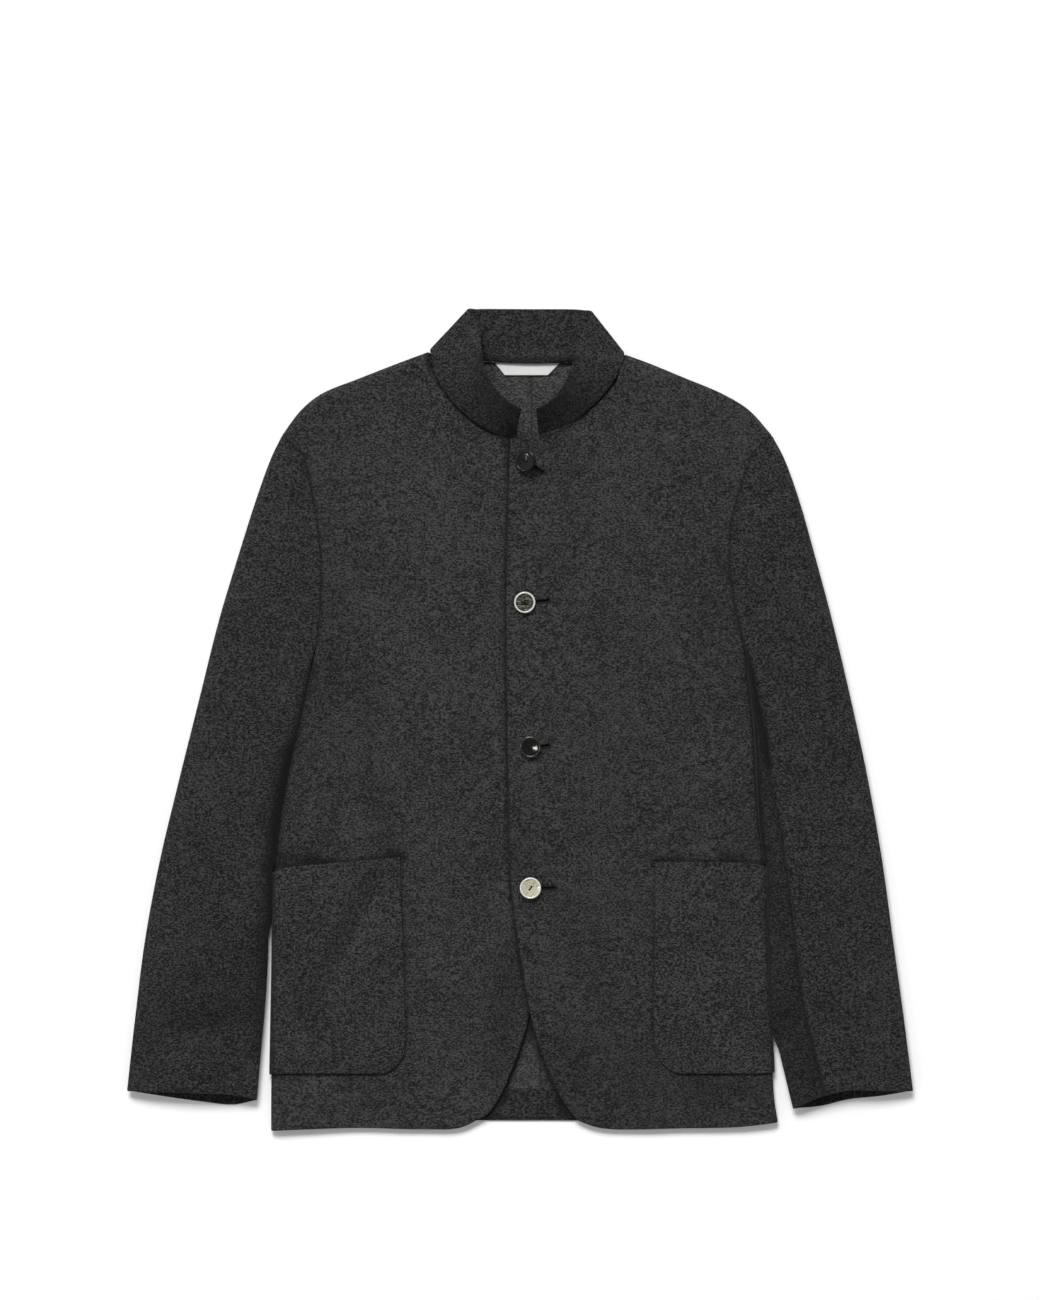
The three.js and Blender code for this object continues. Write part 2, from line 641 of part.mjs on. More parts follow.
function sleeveSurface(plans) {
  return (step, v, inset, seamShift) => {
    const plan = plans[step.layer];
    const width = plan(0, v).distanceTo(plan(1, v));
    const round = Math.min(sleeveFold.round, width * sleeveFold.mostOfWidth);
    const fold = foldReach(step.turn, round) + inset * Math.cos(degToRad(step.turn));
    const flat = lerp(round, width - round, shareAcross(plans, step, v));
    const across = { outer: fold, inner: width - fold, none: flat }[step.edge] + seamShift;
    const u = across / width;
    const at = plan(u, Math.max(v, seamGap / 2 / sleeveLength));
    const seam = lerp(shoulderFold.height, sleeveFold.height, smoothstep(v, 0, sleeveFoldBy));
    const full = step.layer === "upper" ? crownHeight(plans, u, v) - inset : inset;
    at.z = seam + (full - seam) * Math.sin(degToRad(step.turn));
    return at;
  };
}

// Rows down a sleeve, closer together at the armhole
const sleeveRows = [0, 0.03, 0.07, ...evenSteps(11, sleeveFoldBy, 1)];

// One sleeve panel: the part of the ring between two seams
function sleevePanel(plans, from, to) {
  const surface = sleeveSurface(plans);
  const ring = [];
  for (let i = from; i !== to; i = (i + 1) % sleeveRing.length) ring.push(i);
  ring.push(to);
  const layer = (inset) =>
    sleeveRows.map((v) =>
      ring.map((index, order) => {
        const step = sleeveRing[index];
        const inward = order === 0 ? 1 : order === ring.length - 1 ? -1 : 0;
        const way = step.layer === "upper" ? 1 : -1;
        return surface(step, v, inset, (inward * way * seamGap) / 2);
      }));
  return wallBetween(layer(0), layer(cloth));
}

// The left forearm seam shows on top, the right one lies just underneath
const forearmSeam = {
  left: sleeveRing.findIndex((step) => step.layer === "upper" && step.share === forearm.armhole),
  right: sleeveRing.findIndex((step) => step.layer === "under" && step.edge === "inner" && step.turn === 90),
};
const hindSeam = sleeveRing.findIndex((step) => step.layer === "under" && step.share === sleeveFlatSteps[0]);

// Band collar, from the right front end round the back to the left front end
function makeCollar() {
  const back = { x: collarBack.x, y: collarBack.y, z: 0, topX: collarBack.x, topY: collarBack.topY, topZ: 0 };
  const sections = [...collarRight, back, ...[...collarLeft].reverse()];
  const spine = (prefix) =>
    new THREE.CatmullRomCurve3(
      sections.map((row) => (prefix === "top"
        ? new THREE.Vector3(row.topX, row.topY, row.topZ)
        : new THREE.Vector3(row.x, row.y, row.z))),
      false, "centripetal",
    );
  const seam = spine("seam");
  const top = spine("top");
  const stations = evenSteps((sections.length - 1) * collarSteps.perSection);
  const upSteps = evenSteps(collarSteps.up, collarSeamShare, 1);
  const at = (share, up) => {
    const point = seam.getPoint(share).lerp(top.getPoint(share), up);
    point.z = Math.max(point.z, 0);
    return point;
  };
  const outer = stations.map((share) => upSteps.map((up) => at(share, up)));
  const inner = stations.map((share, row) =>
    upSteps.map((up, column) => {
      const { probe } = collarSteps;
      const round = at(Math.min(share + probe, 1), up).sub(at(Math.max(share - probe, 0), up));
      const rise = at(share, Math.min(up + probe, 1)).sub(at(share, Math.max(up - probe, 0)));
      const normal = round.cross(rise).normalize();
      return outer[row][column].clone().addScaledVector(normal, collarCloth);
    }));
  return wallBetween(outer, inner);
}

function makeLabel() {
  const base = cloth + seamGap;
  const level = (z) =>
    evenSteps(4).map((down) =>
      evenSteps(6).map((over) => {
        const right = lerp(label.topRight, label.lowRight, down);
        const left = lerp(label.topLeft, label.lowLeft, down);
        return new THREE.Vector3(
          lerp(right, left, over), lerp(label.topY, label.lowY, down), z + label.lift * down ** 2);
      }));
  return wallBetween(level(base + labelCloth), level(base));
}

const wasm = await Module();
wasm.setup();

function solidOf(geometry) {
  const bare = geometry.clone();
  bare.deleteAttribute("normal");
  bare.deleteAttribute("uv");
  const merged = mergeVertices(bare, 1e-3);
  return new wasm.Manifold(new wasm.Mesh({
    numProp: 3,
    vertProperties: new Float32Array(merged.attributes.position.array),
    triVerts: new Uint32Array(merged.index.array),
  }));
}

function geometryOf(solid) {
  const { vertProperties, triVerts } = solid.getMesh();
  const geometry = new THREE.BufferGeometry();
  geometry.setAttribute("position", new THREE.BufferAttribute(vertProperties, 3));
  geometry.setIndex(new THREE.BufferAttribute(triVerts, 1));
  return geometry;
}

// A dished button with a raised rim and two holes
function makeButton() {
  const { radius, thick, dish, rim, hole } = button;
  const profile = [
    { x: 0, y: 0 },
    { x: radius * buttonShape.foot, y: 0 },
    { x: radius, y: thick * buttonShape.widestAt },
    { x: radius - rim * buttonShape.bevel, y: thick },
    { x: radius - rim, y: thick },
    { x: radius * buttonShape.floor, y: thick - dish },
    { x: 0, y: thick - dish * buttonShape.deepest },
  ].map((p) => new THREE.Vector2(p.x, p.y));
  const disc = new THREE.LatheGeometry(profile, buttonSides.rim).rotateX(Math.PI / 2);
  let solid = solidOf(disc);
  for (const side of [-1, 1]) {
    const drill = new THREE.CylinderGeometry(hole, hole, thick * 4, buttonSides.hole).rotateX(Math.PI / 2);
    solid = solid.subtract(solidOf(drill.translate((side * button.holeApart) / 2, 0, 0)));
  }
  return geometryOf(solid);
}

function piece(name, geometry, material) {
  const mesh = new THREE.Mesh(geometry, material);
  mesh.name = name;
  return mesh;
}

const jacket = new THREE.Group();
jacket.add(
  piece("front_right", makeFront("right"), wool),
  piece("front_left", makeFront("left"), wool),
  piece("back_right", makeBack("right"), woolInside),
  piece("back_left", makeBack("left"), woolInside),
  piece("back_hem_turnup", makeTurnup(), wool),
  piece("pocket_right", makePocket("right"), wool),
  piece("pocket_left", makePocket("left"), wool),
  piece("collar", makeCollar(), wool),
  piece("neck_label", makeLabel(), tape),
);

for (const [side, rows, cuff] of [["right", sleeveRight, cuffRight], ["left", sleeveLeft, cuffLeft]]) {
  const plans = sleevePlans(rows, cuff);
  jacket.add(
    piece(`sleeve_${side}_top`, sleevePanel(plans, hindSeam, forearmSeam[side]), wool),
    piece(`sleeve_${side}_under`, sleevePanel(plans, forearmSeam[side], hindSeam), wool),
  );
}

buttonPlaces.forEach((place, order) => {
  const mesh = piece(`button_${order + 1}`, makeButton(), horn);
  const [tipX, tipY, turn] = [place.tipX, place.tipY, place.turn].map((angle) => degToRad(angle));
  const foot = button.radius * buttonShape.foot;
  const lift = foot * (Math.abs(Math.sin(tipX)) + Math.abs(Math.sin(tipY)));
  mesh.rotation.set(tipX, tipY, turn, "YXZ");
  mesh.position.set(place.x, place.y, frontHeight(place.x, place.y, "left") + button.gap + lift);
  jacket.add(mesh);
});

export default jacket;
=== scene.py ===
import math

import bpy
import numpy as np
from mathutils import Matrix, Vector


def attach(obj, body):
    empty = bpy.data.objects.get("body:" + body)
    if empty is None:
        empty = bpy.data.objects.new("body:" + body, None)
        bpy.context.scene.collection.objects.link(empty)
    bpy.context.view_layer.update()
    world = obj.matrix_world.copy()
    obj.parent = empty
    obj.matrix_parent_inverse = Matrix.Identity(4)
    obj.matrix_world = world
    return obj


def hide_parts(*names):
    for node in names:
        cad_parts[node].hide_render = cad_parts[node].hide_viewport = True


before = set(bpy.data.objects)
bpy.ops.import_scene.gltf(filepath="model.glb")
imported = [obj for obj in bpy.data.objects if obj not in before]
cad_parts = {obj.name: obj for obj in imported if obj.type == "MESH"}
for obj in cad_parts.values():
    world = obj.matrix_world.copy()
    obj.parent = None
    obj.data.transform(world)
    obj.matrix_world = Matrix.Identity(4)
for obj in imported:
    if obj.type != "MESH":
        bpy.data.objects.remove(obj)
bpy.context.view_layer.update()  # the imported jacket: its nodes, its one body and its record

# A mao jacket in brushed charcoal wool, laid flat on its back.
# Sizes are in millimetres up to the moment a mesh is made. Left and right are the wearer's.
toMetres = 0.001
bothSides = ("right", "left")

cloth = {
    "body": 1.8, "pocket": 1.6, "collar": 2.4, "turnup": 1.2, "label": 0.6,
    "seamGap": 0.3, "layGap": 0.5,
    "seamMeet": 0.12,  # how far each edge reaches past its seam line, so that no floor shows through
    "edgeRound": 1.5,  # how far in an edge starts to thin out
    "edgeLeast": 0.16,  # share of the thickness that is left at the very edge
}
fold = {
    "sideHeight": 4.0, "sideRound": 7.0,
    "shoulderHeight": 4.5, "shoulderRound": 10.0,
    "sleeveHeight": 6.5, "sleeveRound": 10.0,
}
bodyCut = {
    "underarmShare": 0.66, "underarmBlend": 0.035,  # share of the side edge below the armhole
    "neckShare": 0.44, "neckBlend": 0.1,  # share of the top edge that is neckline
}
frontLie = {
    "top": 5.8, "lapUnder": 4.3, "lapOver": 6.7,
    "lapFlatTo": 28.0, "lapRiseTo": 56.0, "lapEndTop": -285.0, "lapEndBottom": -335.0,
    "armholeSpread": 48.0, "shoulderRise": 2.6, "shoulderSpread": 34.0,
}

# Side fold from hem to underarm, then armhole seam up to the shoulder: y, right x, left x
sideSections = [
    (-386, -236.5, 245.1), (-360, -236.5, 241.6), (-318, -236, 239.4), (-241, -234.6, 235),
    (-171, -234, 233.6), (-141, -233.6, 232.8), (-100, -230, 228), (-59, -223.2, 225.2),
    (-29, -216.6, 224), (18, -206.1, 220.2), (52, -198.4, 215.9),
]
armholeSections = [
    (52, -198.4, 215.9), (75, -192.8, 211.4), (110, -189, 202.8), (152, -188.8, 198.4),
    (190, -192.6, 200.6), (222, -198.4, 209.9), (251, -205.6, 219.8), (270, -226.1, 239.4),
]
# Shoulder line from neck to tip: right x, right y, left x, left y
shoulderSections = [
    (-87.4, 349.1, 100.7, 346.5), (-113, 339.6, 119.7, 339.6), (-152, 324.4, 156.8, 324.4),
    (-189, 309.2, 192.8, 309.2), (-208, 294, 217.5, 294), (-226.1, 270, 239.4, 270),
]
# Necklines, front edges and hems: x, y
neckLine = {
    "right": [(25.6, 267.4), (-8.5, 267.4), (-29.4, 273.1), (-43.7, 281.7), (-57.9, 293.1),
              (-70.3, 307.3), (-80.8, 323.5), (-87.4, 349.1)],
    "left": [(-9.5, 267.4), (20.9, 268.4), (44.6, 277.9), (62.7, 290.2), (77, 303.5),
             (89.3, 317.8), (96.9, 330.1), (100.7, 346.5)],
}
frontEdge = {
    "right": [(-38, -379), (-30.4, -374.8), (-19, -358.6), (-9.5, -337.7), (4.8, -297.8),
              (12.3, -261.7), (21.8, -211.4), (25.6, -156.3), (24.7, -29), (23.8, 109.7),
              (25.6, 267.4)],
    "left": [(55.6, -381.4), (47.5, -372.9), (38.9, -359.6), (30.4, -343.4), (14.2, -297.8),
             (6.2, -261.7), (-1.9, -211.4), (-8.5, -156.3), (-11.9, -29), (-13.3, 109.7),
             (-9.5, 267.4)],
}
frontHem = {
    "right": [(-38, -379), (-57, -388), (-95, -389.4), (-152, -388.1), (-190.9, -389),
              (-236.5, -390.9)],
    "left": [(55.6, -381.4), (71.2, -387.1), (88.3, -389.4), (152, -388.6), (209.9, -387.1),
             (245.1, -382.8)],
}
backSeam = [(19.9, -381.4), (17.1, -171.5), (13.3, 113.5), (10.4, 337.7)]
backHem = {
    "right": [(19.9, -381.4), (-133, -382.4), (-236.5, -390)],
    "left": [(19.9, -381.4), (245.1, -382.4)],
}
backNeck = {
    "right": [(10.4, 337.7), (-36.1, 340.1), (-71.2, 343.4), (-87.4, 349.1)],
    "left": [(10.4, 337.7), (50.3, 339.6), (80.8, 342.4), (100.7, 346.5)],
}
# Height that the fronts gain towards the side: y, rise
edgeRise = [(-390, 1.4), (-130, 1.8), (-40, 2.6), (60, 5.4), (160, 6.6), (270, 3.4)]

# Broad folds of the fronts, as the solids have them: x1, y1, x2, y2, width, depth
broadFolds = [
    (-143, -150, -200, -268, 26, -0.9),
    (-200, -80, -130, -104, 20, -0.8),
    (190, -80, 120, -108, 20, -0.8),
    (205, 130, 235, 108, 14, -2.2),
    (-190, 60, -120, 10, 26, 1.1),
    (205, 60, 130, 5, 26, 1.1),
]
# Creases of the cloth: x1, y1, x2, y2, bow, width on the left of the way from
# point 1 to point 2, width on its right, depth (a trough below 0)
frontCreases = {
    "right": [
        (-139, -146, -203, -274, 6, 10, 22, -1.5),
        (-112, -168, -176, -284, 5, 20, 26, 0.9),
        (-228, -129, -176, -137, -2, 8, 10, -1.2),
        (-126, -124, -111, -134, 0, 6, 7, -0.9),
        (-226, -158, -229, -250, 2, 10, 14, 0.7),
        (-186, 118, -139, 62, -5, 12, 18, -0.9),
        (-176, 168, -124, 128, 4, 16, 24, 0.6),
        (-191, 24, -132, -12, 5, 12, 20, -0.8),
        (-208, -22, -163, -52, 3, 9, 15, -0.9),
        (-26, 261, 17, 257, -2, 4, 7, -0.7),
        (-92, 296, -64, 250, 5, 12, 18, 0.5),
        (-80, 80, -62, -60, 6, 22, 30, 0.5),
        (-62, -210, -84, -330, -5, 18, 26, 0.6),
        (-170, 262, -118, 292, 4, 12, 18, -0.6),
        (-143.5, 19.5, -124.5, -118, -3, 4, 5, -0.7),
        (-38, 40, -22, -80, -3, 12, 18, -0.4),
    ],
    "left": [
        (198, 138, 240, 113, -2, 5, 9, -1.3),
        (190, 120, 226, 96, -2, 8, 12, 0.9),
        (192, -129, 213, -132, 0, 6, 8, -1.2),
        (190, -168, 198, -222, 3, 8, 12, -1.1),
        (161, -172, 158, -212, 2, 16, 20, 0.9),
        (206, 22, 160, -26, 4, 12, 18, -0.8),
        (212, -14, 176, -56, 3, 8, 14, -0.9),
        (188, 92, 150, 50, -4, 13, 20, -0.7),
        (28, 258, 40, 262, 0, 4, 6, -0.6),
        (84, 292, 62, 246, -4, 12, 18, 0.5),
        (66, 70, 54, -70, -5, 22, 30, 0.5),
        (86, -196, 104, -318, 5, 18, 26, 0.6),
        (128, 290, 176, 258, 4, 12, 18, -0.6),
        (167.2, -73.6, 161.5, -131.6, 2, 4, 5, -0.7),
        (142, -140, 136, -260, 3, 9, 13, -0.5),
        (32, -190, 46, -290, 3, 10, 16, -0.4),
    ],
}
# Creases of the back, which only lift it from the surface
backCreases = [
    (-196, 60, -96, 20, 6, 14, 20, 0.7), (-190, -20, -110, -64, 5, 12, 18, 0.6),
    (-150, 210, -60, 236, 6, 16, 24, 0.5), (202, 56, 112, 12, -5, 14, 20, 0.7),
    (208, -28, 128, -66, 5, 12, 18, 0.6), (156, 214, 74, 240, -6, 16, 24, 0.5),
    (-120, -160, -96, -330, 6, 16, 22, 0.5), (150, -150, 122, -320, -6, 16, 22, 0.5),
    (-28, 40, -16, -120, 3, 12, 18, 0.4), (62, 60, 52, -110, -3, 12, 18, 0.4),
]
# Creases of the sleeves
sleeveCreases = {
    "right": [
        (-201, 254, -190, 216, -2, 5, 8, -2.4),
        (-216, 246, -208, 206, 2, 9, 12, 1.2),
        (-214, 20, -246, 60, 4, 8, 12, -1.8),
        (-226, -24, -262, 14, 4, 9, 13, -1.5),
        (-238, -70, -280, -34, -4, 9, 13, -1.3),
        (-246, -128, -286, -96, 4, 10, 14, -1.2),
        (-330, -40, -296, -66, 5, 11, 15, -1.3),
        (-318, 14, -284, -16, 5, 12, 16, -1),
        (-354, -297, -250, -277, -5, 11, 15, -1.9),
        (-350, -270, -262, -250, -4, 14, 18, 0.8),
        (-356, -328, -262, -334, 3, 8, 11, 0.9),
        (-340, -180, -300, -220, 5, 12, 16, -0.9),
        (-262, 120, -292, 60, 4, 16, 22, 0.9),
        (-246, -190, -262, -262, 3, 9, 12, -1.1),
    ],
    "left": [
        (216, 118, 250, 106, -3, 5, 8, -1.9),
        (222, 100, 256, 84, -3, 9, 12, 1),
        (230, 14, 258, 46, -4, 8, 12, -1.7),
        (236, -34, 270, 4, -4, 9, 13, -1.4),
        (248, -86, 284, -50, 4, 9, 13, -1.3),
        (254, -276, 262, -310, 2, 12, 15, -1.8),
        (330, -48, 300, -72, -5, 11, 15, -1.2),
        (322, 20, 292, -12, -5, 12, 16, -1),
        (346, -268, 286, -250, 4, 13, 17, 0.9),
        (352, -300, 276, -284, 5, 11, 15, -1.3),
        (340, -170, 302, -206, -5, 12, 16, -0.9),
        (268, 128, 296, 66, -4, 16, 22, 0.9),
        (266, -150, 276, -232, -3, 9, 13, 0.8),
    ],
}
creaseGain = {"ridge": 2.0, "trough": 1.25}
# Slow waves that no laid cloth is without: wave length, direction in degrees, height, start
slowWaves = [(148, 17, 0.24, 0.4), (97, 104, 0.17, 2.1), (71, 62, 0.12, 4.4), (53, 148, 0.08, 1.2)]


def lerp(a, b, t):
    return a + (b - a) * t


def smoothStep(x, low, high):
    t = np.clip((x - low) / (high - low), 0, 1)
    return t * t * (3 - 2 * t)


def pathThrough(points, byLength=True):
    # a centripetal path through points, by share of its length or of its stretches
    corners = np.array(points, float)
    corners = np.vstack([2 * corners[0] - corners[1], corners, 2 * corners[-1] - corners[-2]])
    stretch = 40
    t = np.linspace(0, 1, stretch, endpoint=False)[:, None]
    spots = []
    for a, b, c, d in zip(corners, corners[1:], corners[2:], corners[3:]):
        before, here, after = (math.sqrt(np.linalg.norm(q - p)) for p, q in ((a, b), (b, c), (c, d)))
        leave = ((b - a) / before - (c - a) / (before + here)) * here + (c - b)
        arrive = (c - b) + ((d - c) / after - (d - b) / (here + after)) * here
        bend = 3 * (c - b) - 2 * leave - arrive
        spots.append(b + leave * t + bend * t**2 + (2 * (b - c) + leave + arrive) * t**3)
    line = np.vstack([*spots, corners[-2]])
    steps = np.linalg.norm(np.diff(line, axis=0), axis=1)
    total = steps.sum()
    marks = np.concatenate([[0], np.cumsum(steps)]) / total if byLength else np.linspace(0, 1, len(line))
    ways = [(line[1] - line[0]) / steps[0], (line[-1] - line[-2]) / steps[-1]]

    def at(share):
        share = np.asarray(share, float)
        within = np.clip(share, 0, 1)
        place = np.stack([np.interp(within, marks, line[:, k]) for k in range(line.shape[1])], -1)
        past = ((share - within) * total)[..., None]
        return place + np.where(past < 0, ways[0], ways[1]) * past

    return at


def joined(first, second, split):
    # two paths end to end, meeting at the given share
    def at(share):
        share = np.asarray(share, float)
        low = (share < split)[..., None]
        return np.where(low, first(share / split), second((share - split) / (1 - split)))

    return at


def planPatch(near, far, start, end):
    # a patch of the plan between four edges: near and far run along u, start and end along v
    corners = [near(0), near(1), far(0), far(1)]

    def at(u, v):
        u, v = np.broadcast_arrays(np.asarray(u, float), np.asarray(v, float))
        across, up = u[..., None], v[..., None]
        flat = lerp(lerp(corners[0], corners[1], across), lerp(corners[2], corners[3], across), up)
        return lerp(near(u), far(u), up) + lerp(start(v), end(v), across) - flat

    return at


def columnOf(rows, number):
    return [row[number] for row in rows]


def sideColumn(side):
    # the column of one side's x in a table with its y first
    return 1 + bothSides.index(side)


def sideOf(rows, side):
    # one side's points of such a table
    return [(row[sideColumn(side)], row[0]) for row in rows]


def shoulderOf(side):
    return [row[:2] if side == "right" else row[2:] for row in shoulderSections]


def sideEdge(side, hem):
    # from the end of the hem up the side fold and the armhole
    low = pathThrough([hem[side][-1], *sideOf(sideSections[1:], side)])
    return joined(low, pathThrough(sideOf(armholeSections, side)), bodyCut["underarmShare"])


def creaseHeight(x, y, rows):
    # soft troughs and ridges, each steeper on one side and fading out at its ends
    total = np.zeros_like(x)
    for x1, y1, x2, y2, bow, leftWidth, rightWidth, depth in rows:
        length = math.hypot(x2 - x1, y2 - y1)
        wayX, wayY = (x2 - x1) / length, (y2 - y1) / length
        along = np.clip(((x - x1) * wayX + (y - y1) * wayY) / length, 0, 1)
        off = (y - y1) * wayX - (x - x1) * wayY + 4 * bow * along * (along - 1)
        width = np.where(off > 0, leftWidth, rightWidth)
        gain = creaseGain["ridge" if depth > 0 else "trough"]
        total += gain * depth * np.sin(math.pi * along) ** 0.7 * np.exp(-(off / width) ** 2)
    return total


def waveHeight(x, y):
    total = np.zeros_like(x)
    for length, degrees, height, start in slowWaves:
        turn = math.radians(degrees)
        phase = (x * math.cos(turn) + y * math.sin(turn)) * 2 * math.pi / length
        total += height * np.sin(phase + start + 0.6 * np.sin(phase * 0.37))
    return total


def broadFoldHeight(x, y):
    total = np.zeros_like(x)
    for x1, y1, x2, y2, width, depth in broadFolds:
        lengthSquared = (x2 - x1) ** 2 + (y2 - y1) ** 2
        along = np.clip(((x - x1) * (x2 - x1) + (y - y1) * (y2 - y1)) / lengthSquared, 0, 1)
        away = np.hypot(x - lerp(x1, x2, along), y - lerp(y1, y2, along))
        total += depth * np.exp(-(away / width) ** 2)
    return total


def frontHeight(x, y, side):
    # the fronts' outer face where it lies open, as the solids have it
    edges = sideSections + armholeSections[1:]
    edge = np.abs(np.interp(y, columnOf(edges, 0), columnOf(edges, sideColumn(side))))
    fromEdge = np.maximum(edge - np.abs(x), 0)
    rise = np.interp(y, columnOf(edgeRise, 0), columnOf(edgeRise, 1))
    rise = rise * np.exp(-(fromEdge / frontLie["armholeSpread"]) ** 2)
    shoulder = shoulderOf(side)
    shoulderY = np.interp(np.abs(x), np.abs(columnOf(shoulder, 0)), columnOf(shoulder, 1))
    below = np.maximum(shoulderY - y, 0)
    shoulderGain = frontLie["shoulderRise"] * np.exp(-(below / frontLie["shoulderSpread"]) ** 2)
    onLap = 1 - smoothStep(np.abs(x), frontLie["lapFlatTo"], frontLie["lapRiseTo"])
    onLap = onLap * smoothStep(y, frontLie["lapEndBottom"], frontLie["lapEndTop"])
    level = frontLie["lapUnder" if side == "right" else "lapOver"]
    lapLevel = lerp(frontLie["top"], level, onLap)
    return lapLevel + np.maximum(rise, shoulderGain) + broadFoldHeight(x, y)


def frontFace(x, y, side):
    # the same face with its creases and slow waves
    return frontHeight(x, y, side) + creaseHeight(x, y, frontCreases[side]) + waveHeight(x, y)


class Steps:
    # places along one way of a panel: shares of the flat, then the round of the fold

    def __init__(self, flat, turns):
        self.share = np.concatenate([flat, np.ones(len(turns))])
        self.turn = np.radians(np.concatenate([np.full(len(flat), 90.0), turns]))
        self.onFold = np.concatenate([np.zeros(len(flat), bool), np.ones(len(turns), bool)])

    def across(self):
        return self.share[None, :], self.turn[None, :], self.onFold[None, :]

    def up(self):
        return self.share[:, None], self.turn[:, None], self.onFold[:, None]


def edgeLeft(distance):
    # share of the thickness that is left this far from an edge, in a round nose
    into = np.clip(1 - distance / cloth["edgeRound"], 0, 1)
    return np.maximum(np.sqrt(np.maximum(1 - into**2, 0)), cloth["edgeLeast"])


def foldedEdges(columns, rows):
    # 1 where a body panel's side or top is the middle of a fold, 0 where it is sewn or free
    underarm, neck = bodyCut["underarmShare"], bodyCut["neckShare"]
    side = 1 - smoothStep(rows.share[:, None], underarm, underarm + bodyCut["underarmBlend"])
    return side, smoothStep(columns.share[None, :], neck - bodyCut["neckBlend"], neck)


def bodySurface(plan, heightAt, seamHeight, middleGap):
    # a body panel: u from the middle (0) to the side (1), v from the hem (0) to the shoulder (1)
    def at(columns, rows, inset):
        (u, turnU, foldU), (v, turnV, foldV) = columns.across(), rows.up()
        width = np.linalg.norm(plan(0, v) - plan(1, v), axis=-1)
        length = np.linalg.norm(plan(u, 0) - plan(u, 1), axis=-1)
        sideRound, topRound = foldedEdges(columns, rows)
        short = -cloth["seamMeet"]
        reachU = fold["sideRound"] * (1 - np.cos(turnU))
        reachV = fold["shoulderRound"] * (1 - np.cos(turnV))
        fromSide = reachU + inset * sideRound * np.cos(turnU) + short * (1 - sideRound)
        fromTop = reachV + inset * topRound * np.cos(turnV) + short * (1 - topRound)
        placeU = np.where(foldU, 1 - fromSide / width, lerp(middleGap / width, 1, u))
        placeV = np.where(foldV, 1 - fromTop / length, v)
        point = plan(placeU, placeV)
        isOpen = (1 - sideRound * (1 - np.sin(turnU))) * (1 - topRound * (1 - np.sin(turnV)))
        lift = lerp(fold["sideHeight"], fold["shoulderHeight"], smoothStep(v, bodyCut["underarmShare"], 1))
        seam = lift + seamHeight
        z = seam + (heightAt(point[..., 0], point[..., 1], inset) - seam) * isOpen
        return np.stack([point[..., 0], point[..., 1], z], -1)

    return at


def wallOf(surface, columns, rows, thickness):
    # the outer and inner points of a body panel, with round edges where it isn't folded
    flat = surface(columns, rows, np.full((len(rows.share), len(columns.share)), thickness / 2))
    side, top = foldedEdges(columns, rows)
    left = edgeShare(flat, allRound, {"last column": side, "last row": top})
    outer = surface(columns, rows, thickness / 2 * (1 - left))
    inner = surface(columns, rows, thickness / 2 * (1 + left))
    return outer, inner


def runAlong(points, axis):
    # length run through a grid of points along one axis, from its first line
    steps = np.linalg.norm(np.diff(points, axis=axis), axis=-1)
    first = np.zeros_like(np.take(steps, [0], axis=axis))
    return np.concatenate([first, np.cumsum(steps, axis=axis)], axis=axis)


allRound = ("first column", "last column", "first row", "last row")


def edgeShare(flat, free, folded=None):
    # share of the thickness over a grid whose free edges are round, but for their folded stretches
    across, up = runAlong(flat, 1), runAlong(flat, 0)
    away = dict(zip(allRound, (across, across[:, -1:] - across, up, up[-1:, :] - up)))
    left = np.ones(flat.shape[:2])
    for edge in free:
        left = left * lerp(edgeLeft(away[edge]), 1, (folded or {}).get(edge, 0))
    return np.maximum(left, cloth["edgeLeast"])


def lineShade(x, y, rows):
    # share of the light that is left beside dark lines of the plan: path, half width, share taken
    left = np.ones_like(x)
    for path, width, share in rows:
        dark = np.zeros_like(x)
        for (x1, y1), (x2, y2) in zip(path, path[1:]):
            wayX, wayY = x2 - x1, y2 - y1
            along = np.clip(((x - x1) * wayX + (y - y1) * wayY) / (wayX**2 + wayY**2), 0, 1)
            away = np.hypot(x - x1 - along * wayX, y - y1 - along * wayY)
            dark = np.maximum(dark, np.exp(-(away / width) ** 2))
        left = left * (1 - share * dark)
    return left


def wallPiece(name, outer, inner, material, shade=1.0):
    # a closed wall between two grids of points, with its shade on each point
    rows, columns = outer.shape[:2]
    points = np.concatenate([outer.reshape(-1, 3), inner.reshape(-1, 3)]) * toMetres
    place = np.arange(rows * columns).reshape(rows, columns)
    quads = np.stack([place[:-1, :-1], place[:-1, 1:], place[1:, 1:], place[1:, :-1]], -1)
    quads = quads.reshape(-1, 4)
    rim = np.concatenate([place[0, :-1], place[:-1, -1], place[-1, :0:-1], place[:0:-1, 0]])
    nextRim = np.roll(rim, -1)
    under = rows * columns
    side = np.stack([nextRim, rim, rim + under, nextRim + under], -1)
    faces = np.concatenate([quads, quads[:, ::-1] + under, side])
    a, b, c, d = (points[faces[:, k]] for k in range(4))
    if (a * (np.cross(b, c) + np.cross(c, d))).sum() < 0:
        faces = faces[:, ::-1]
    mesh = bpy.data.meshes.new(name)
    mesh.from_pydata(points.tolist(), [], faces.tolist())
    mesh.shade_smooth()
    mesh.materials.append(material)
    shades = np.broadcast_to(shade, outer.shape[:2]).reshape(-1)
    mesh.attributes.new("shade", "FLOAT", "POINT").data.foreach_set("value", np.tile(shades, 2))
    piece = bpy.data.objects.new(name, mesh)
    bpy.context.scene.collection.objects.link(piece)
    return piece


def areaOf(grid):
    # area of a grid of points in square metres
    a, b, c, d = grid[:-1, :-1], grid[:-1, 1:], grid[1:, 1:], grid[1:, :-1]
    halves = np.linalg.norm(np.cross(b - a, c - a), axis=-1) + np.linalg.norm(np.cross(c - a, d - a), axis=-1)
    return float(halves.sum() / 2 * toMetres**2)


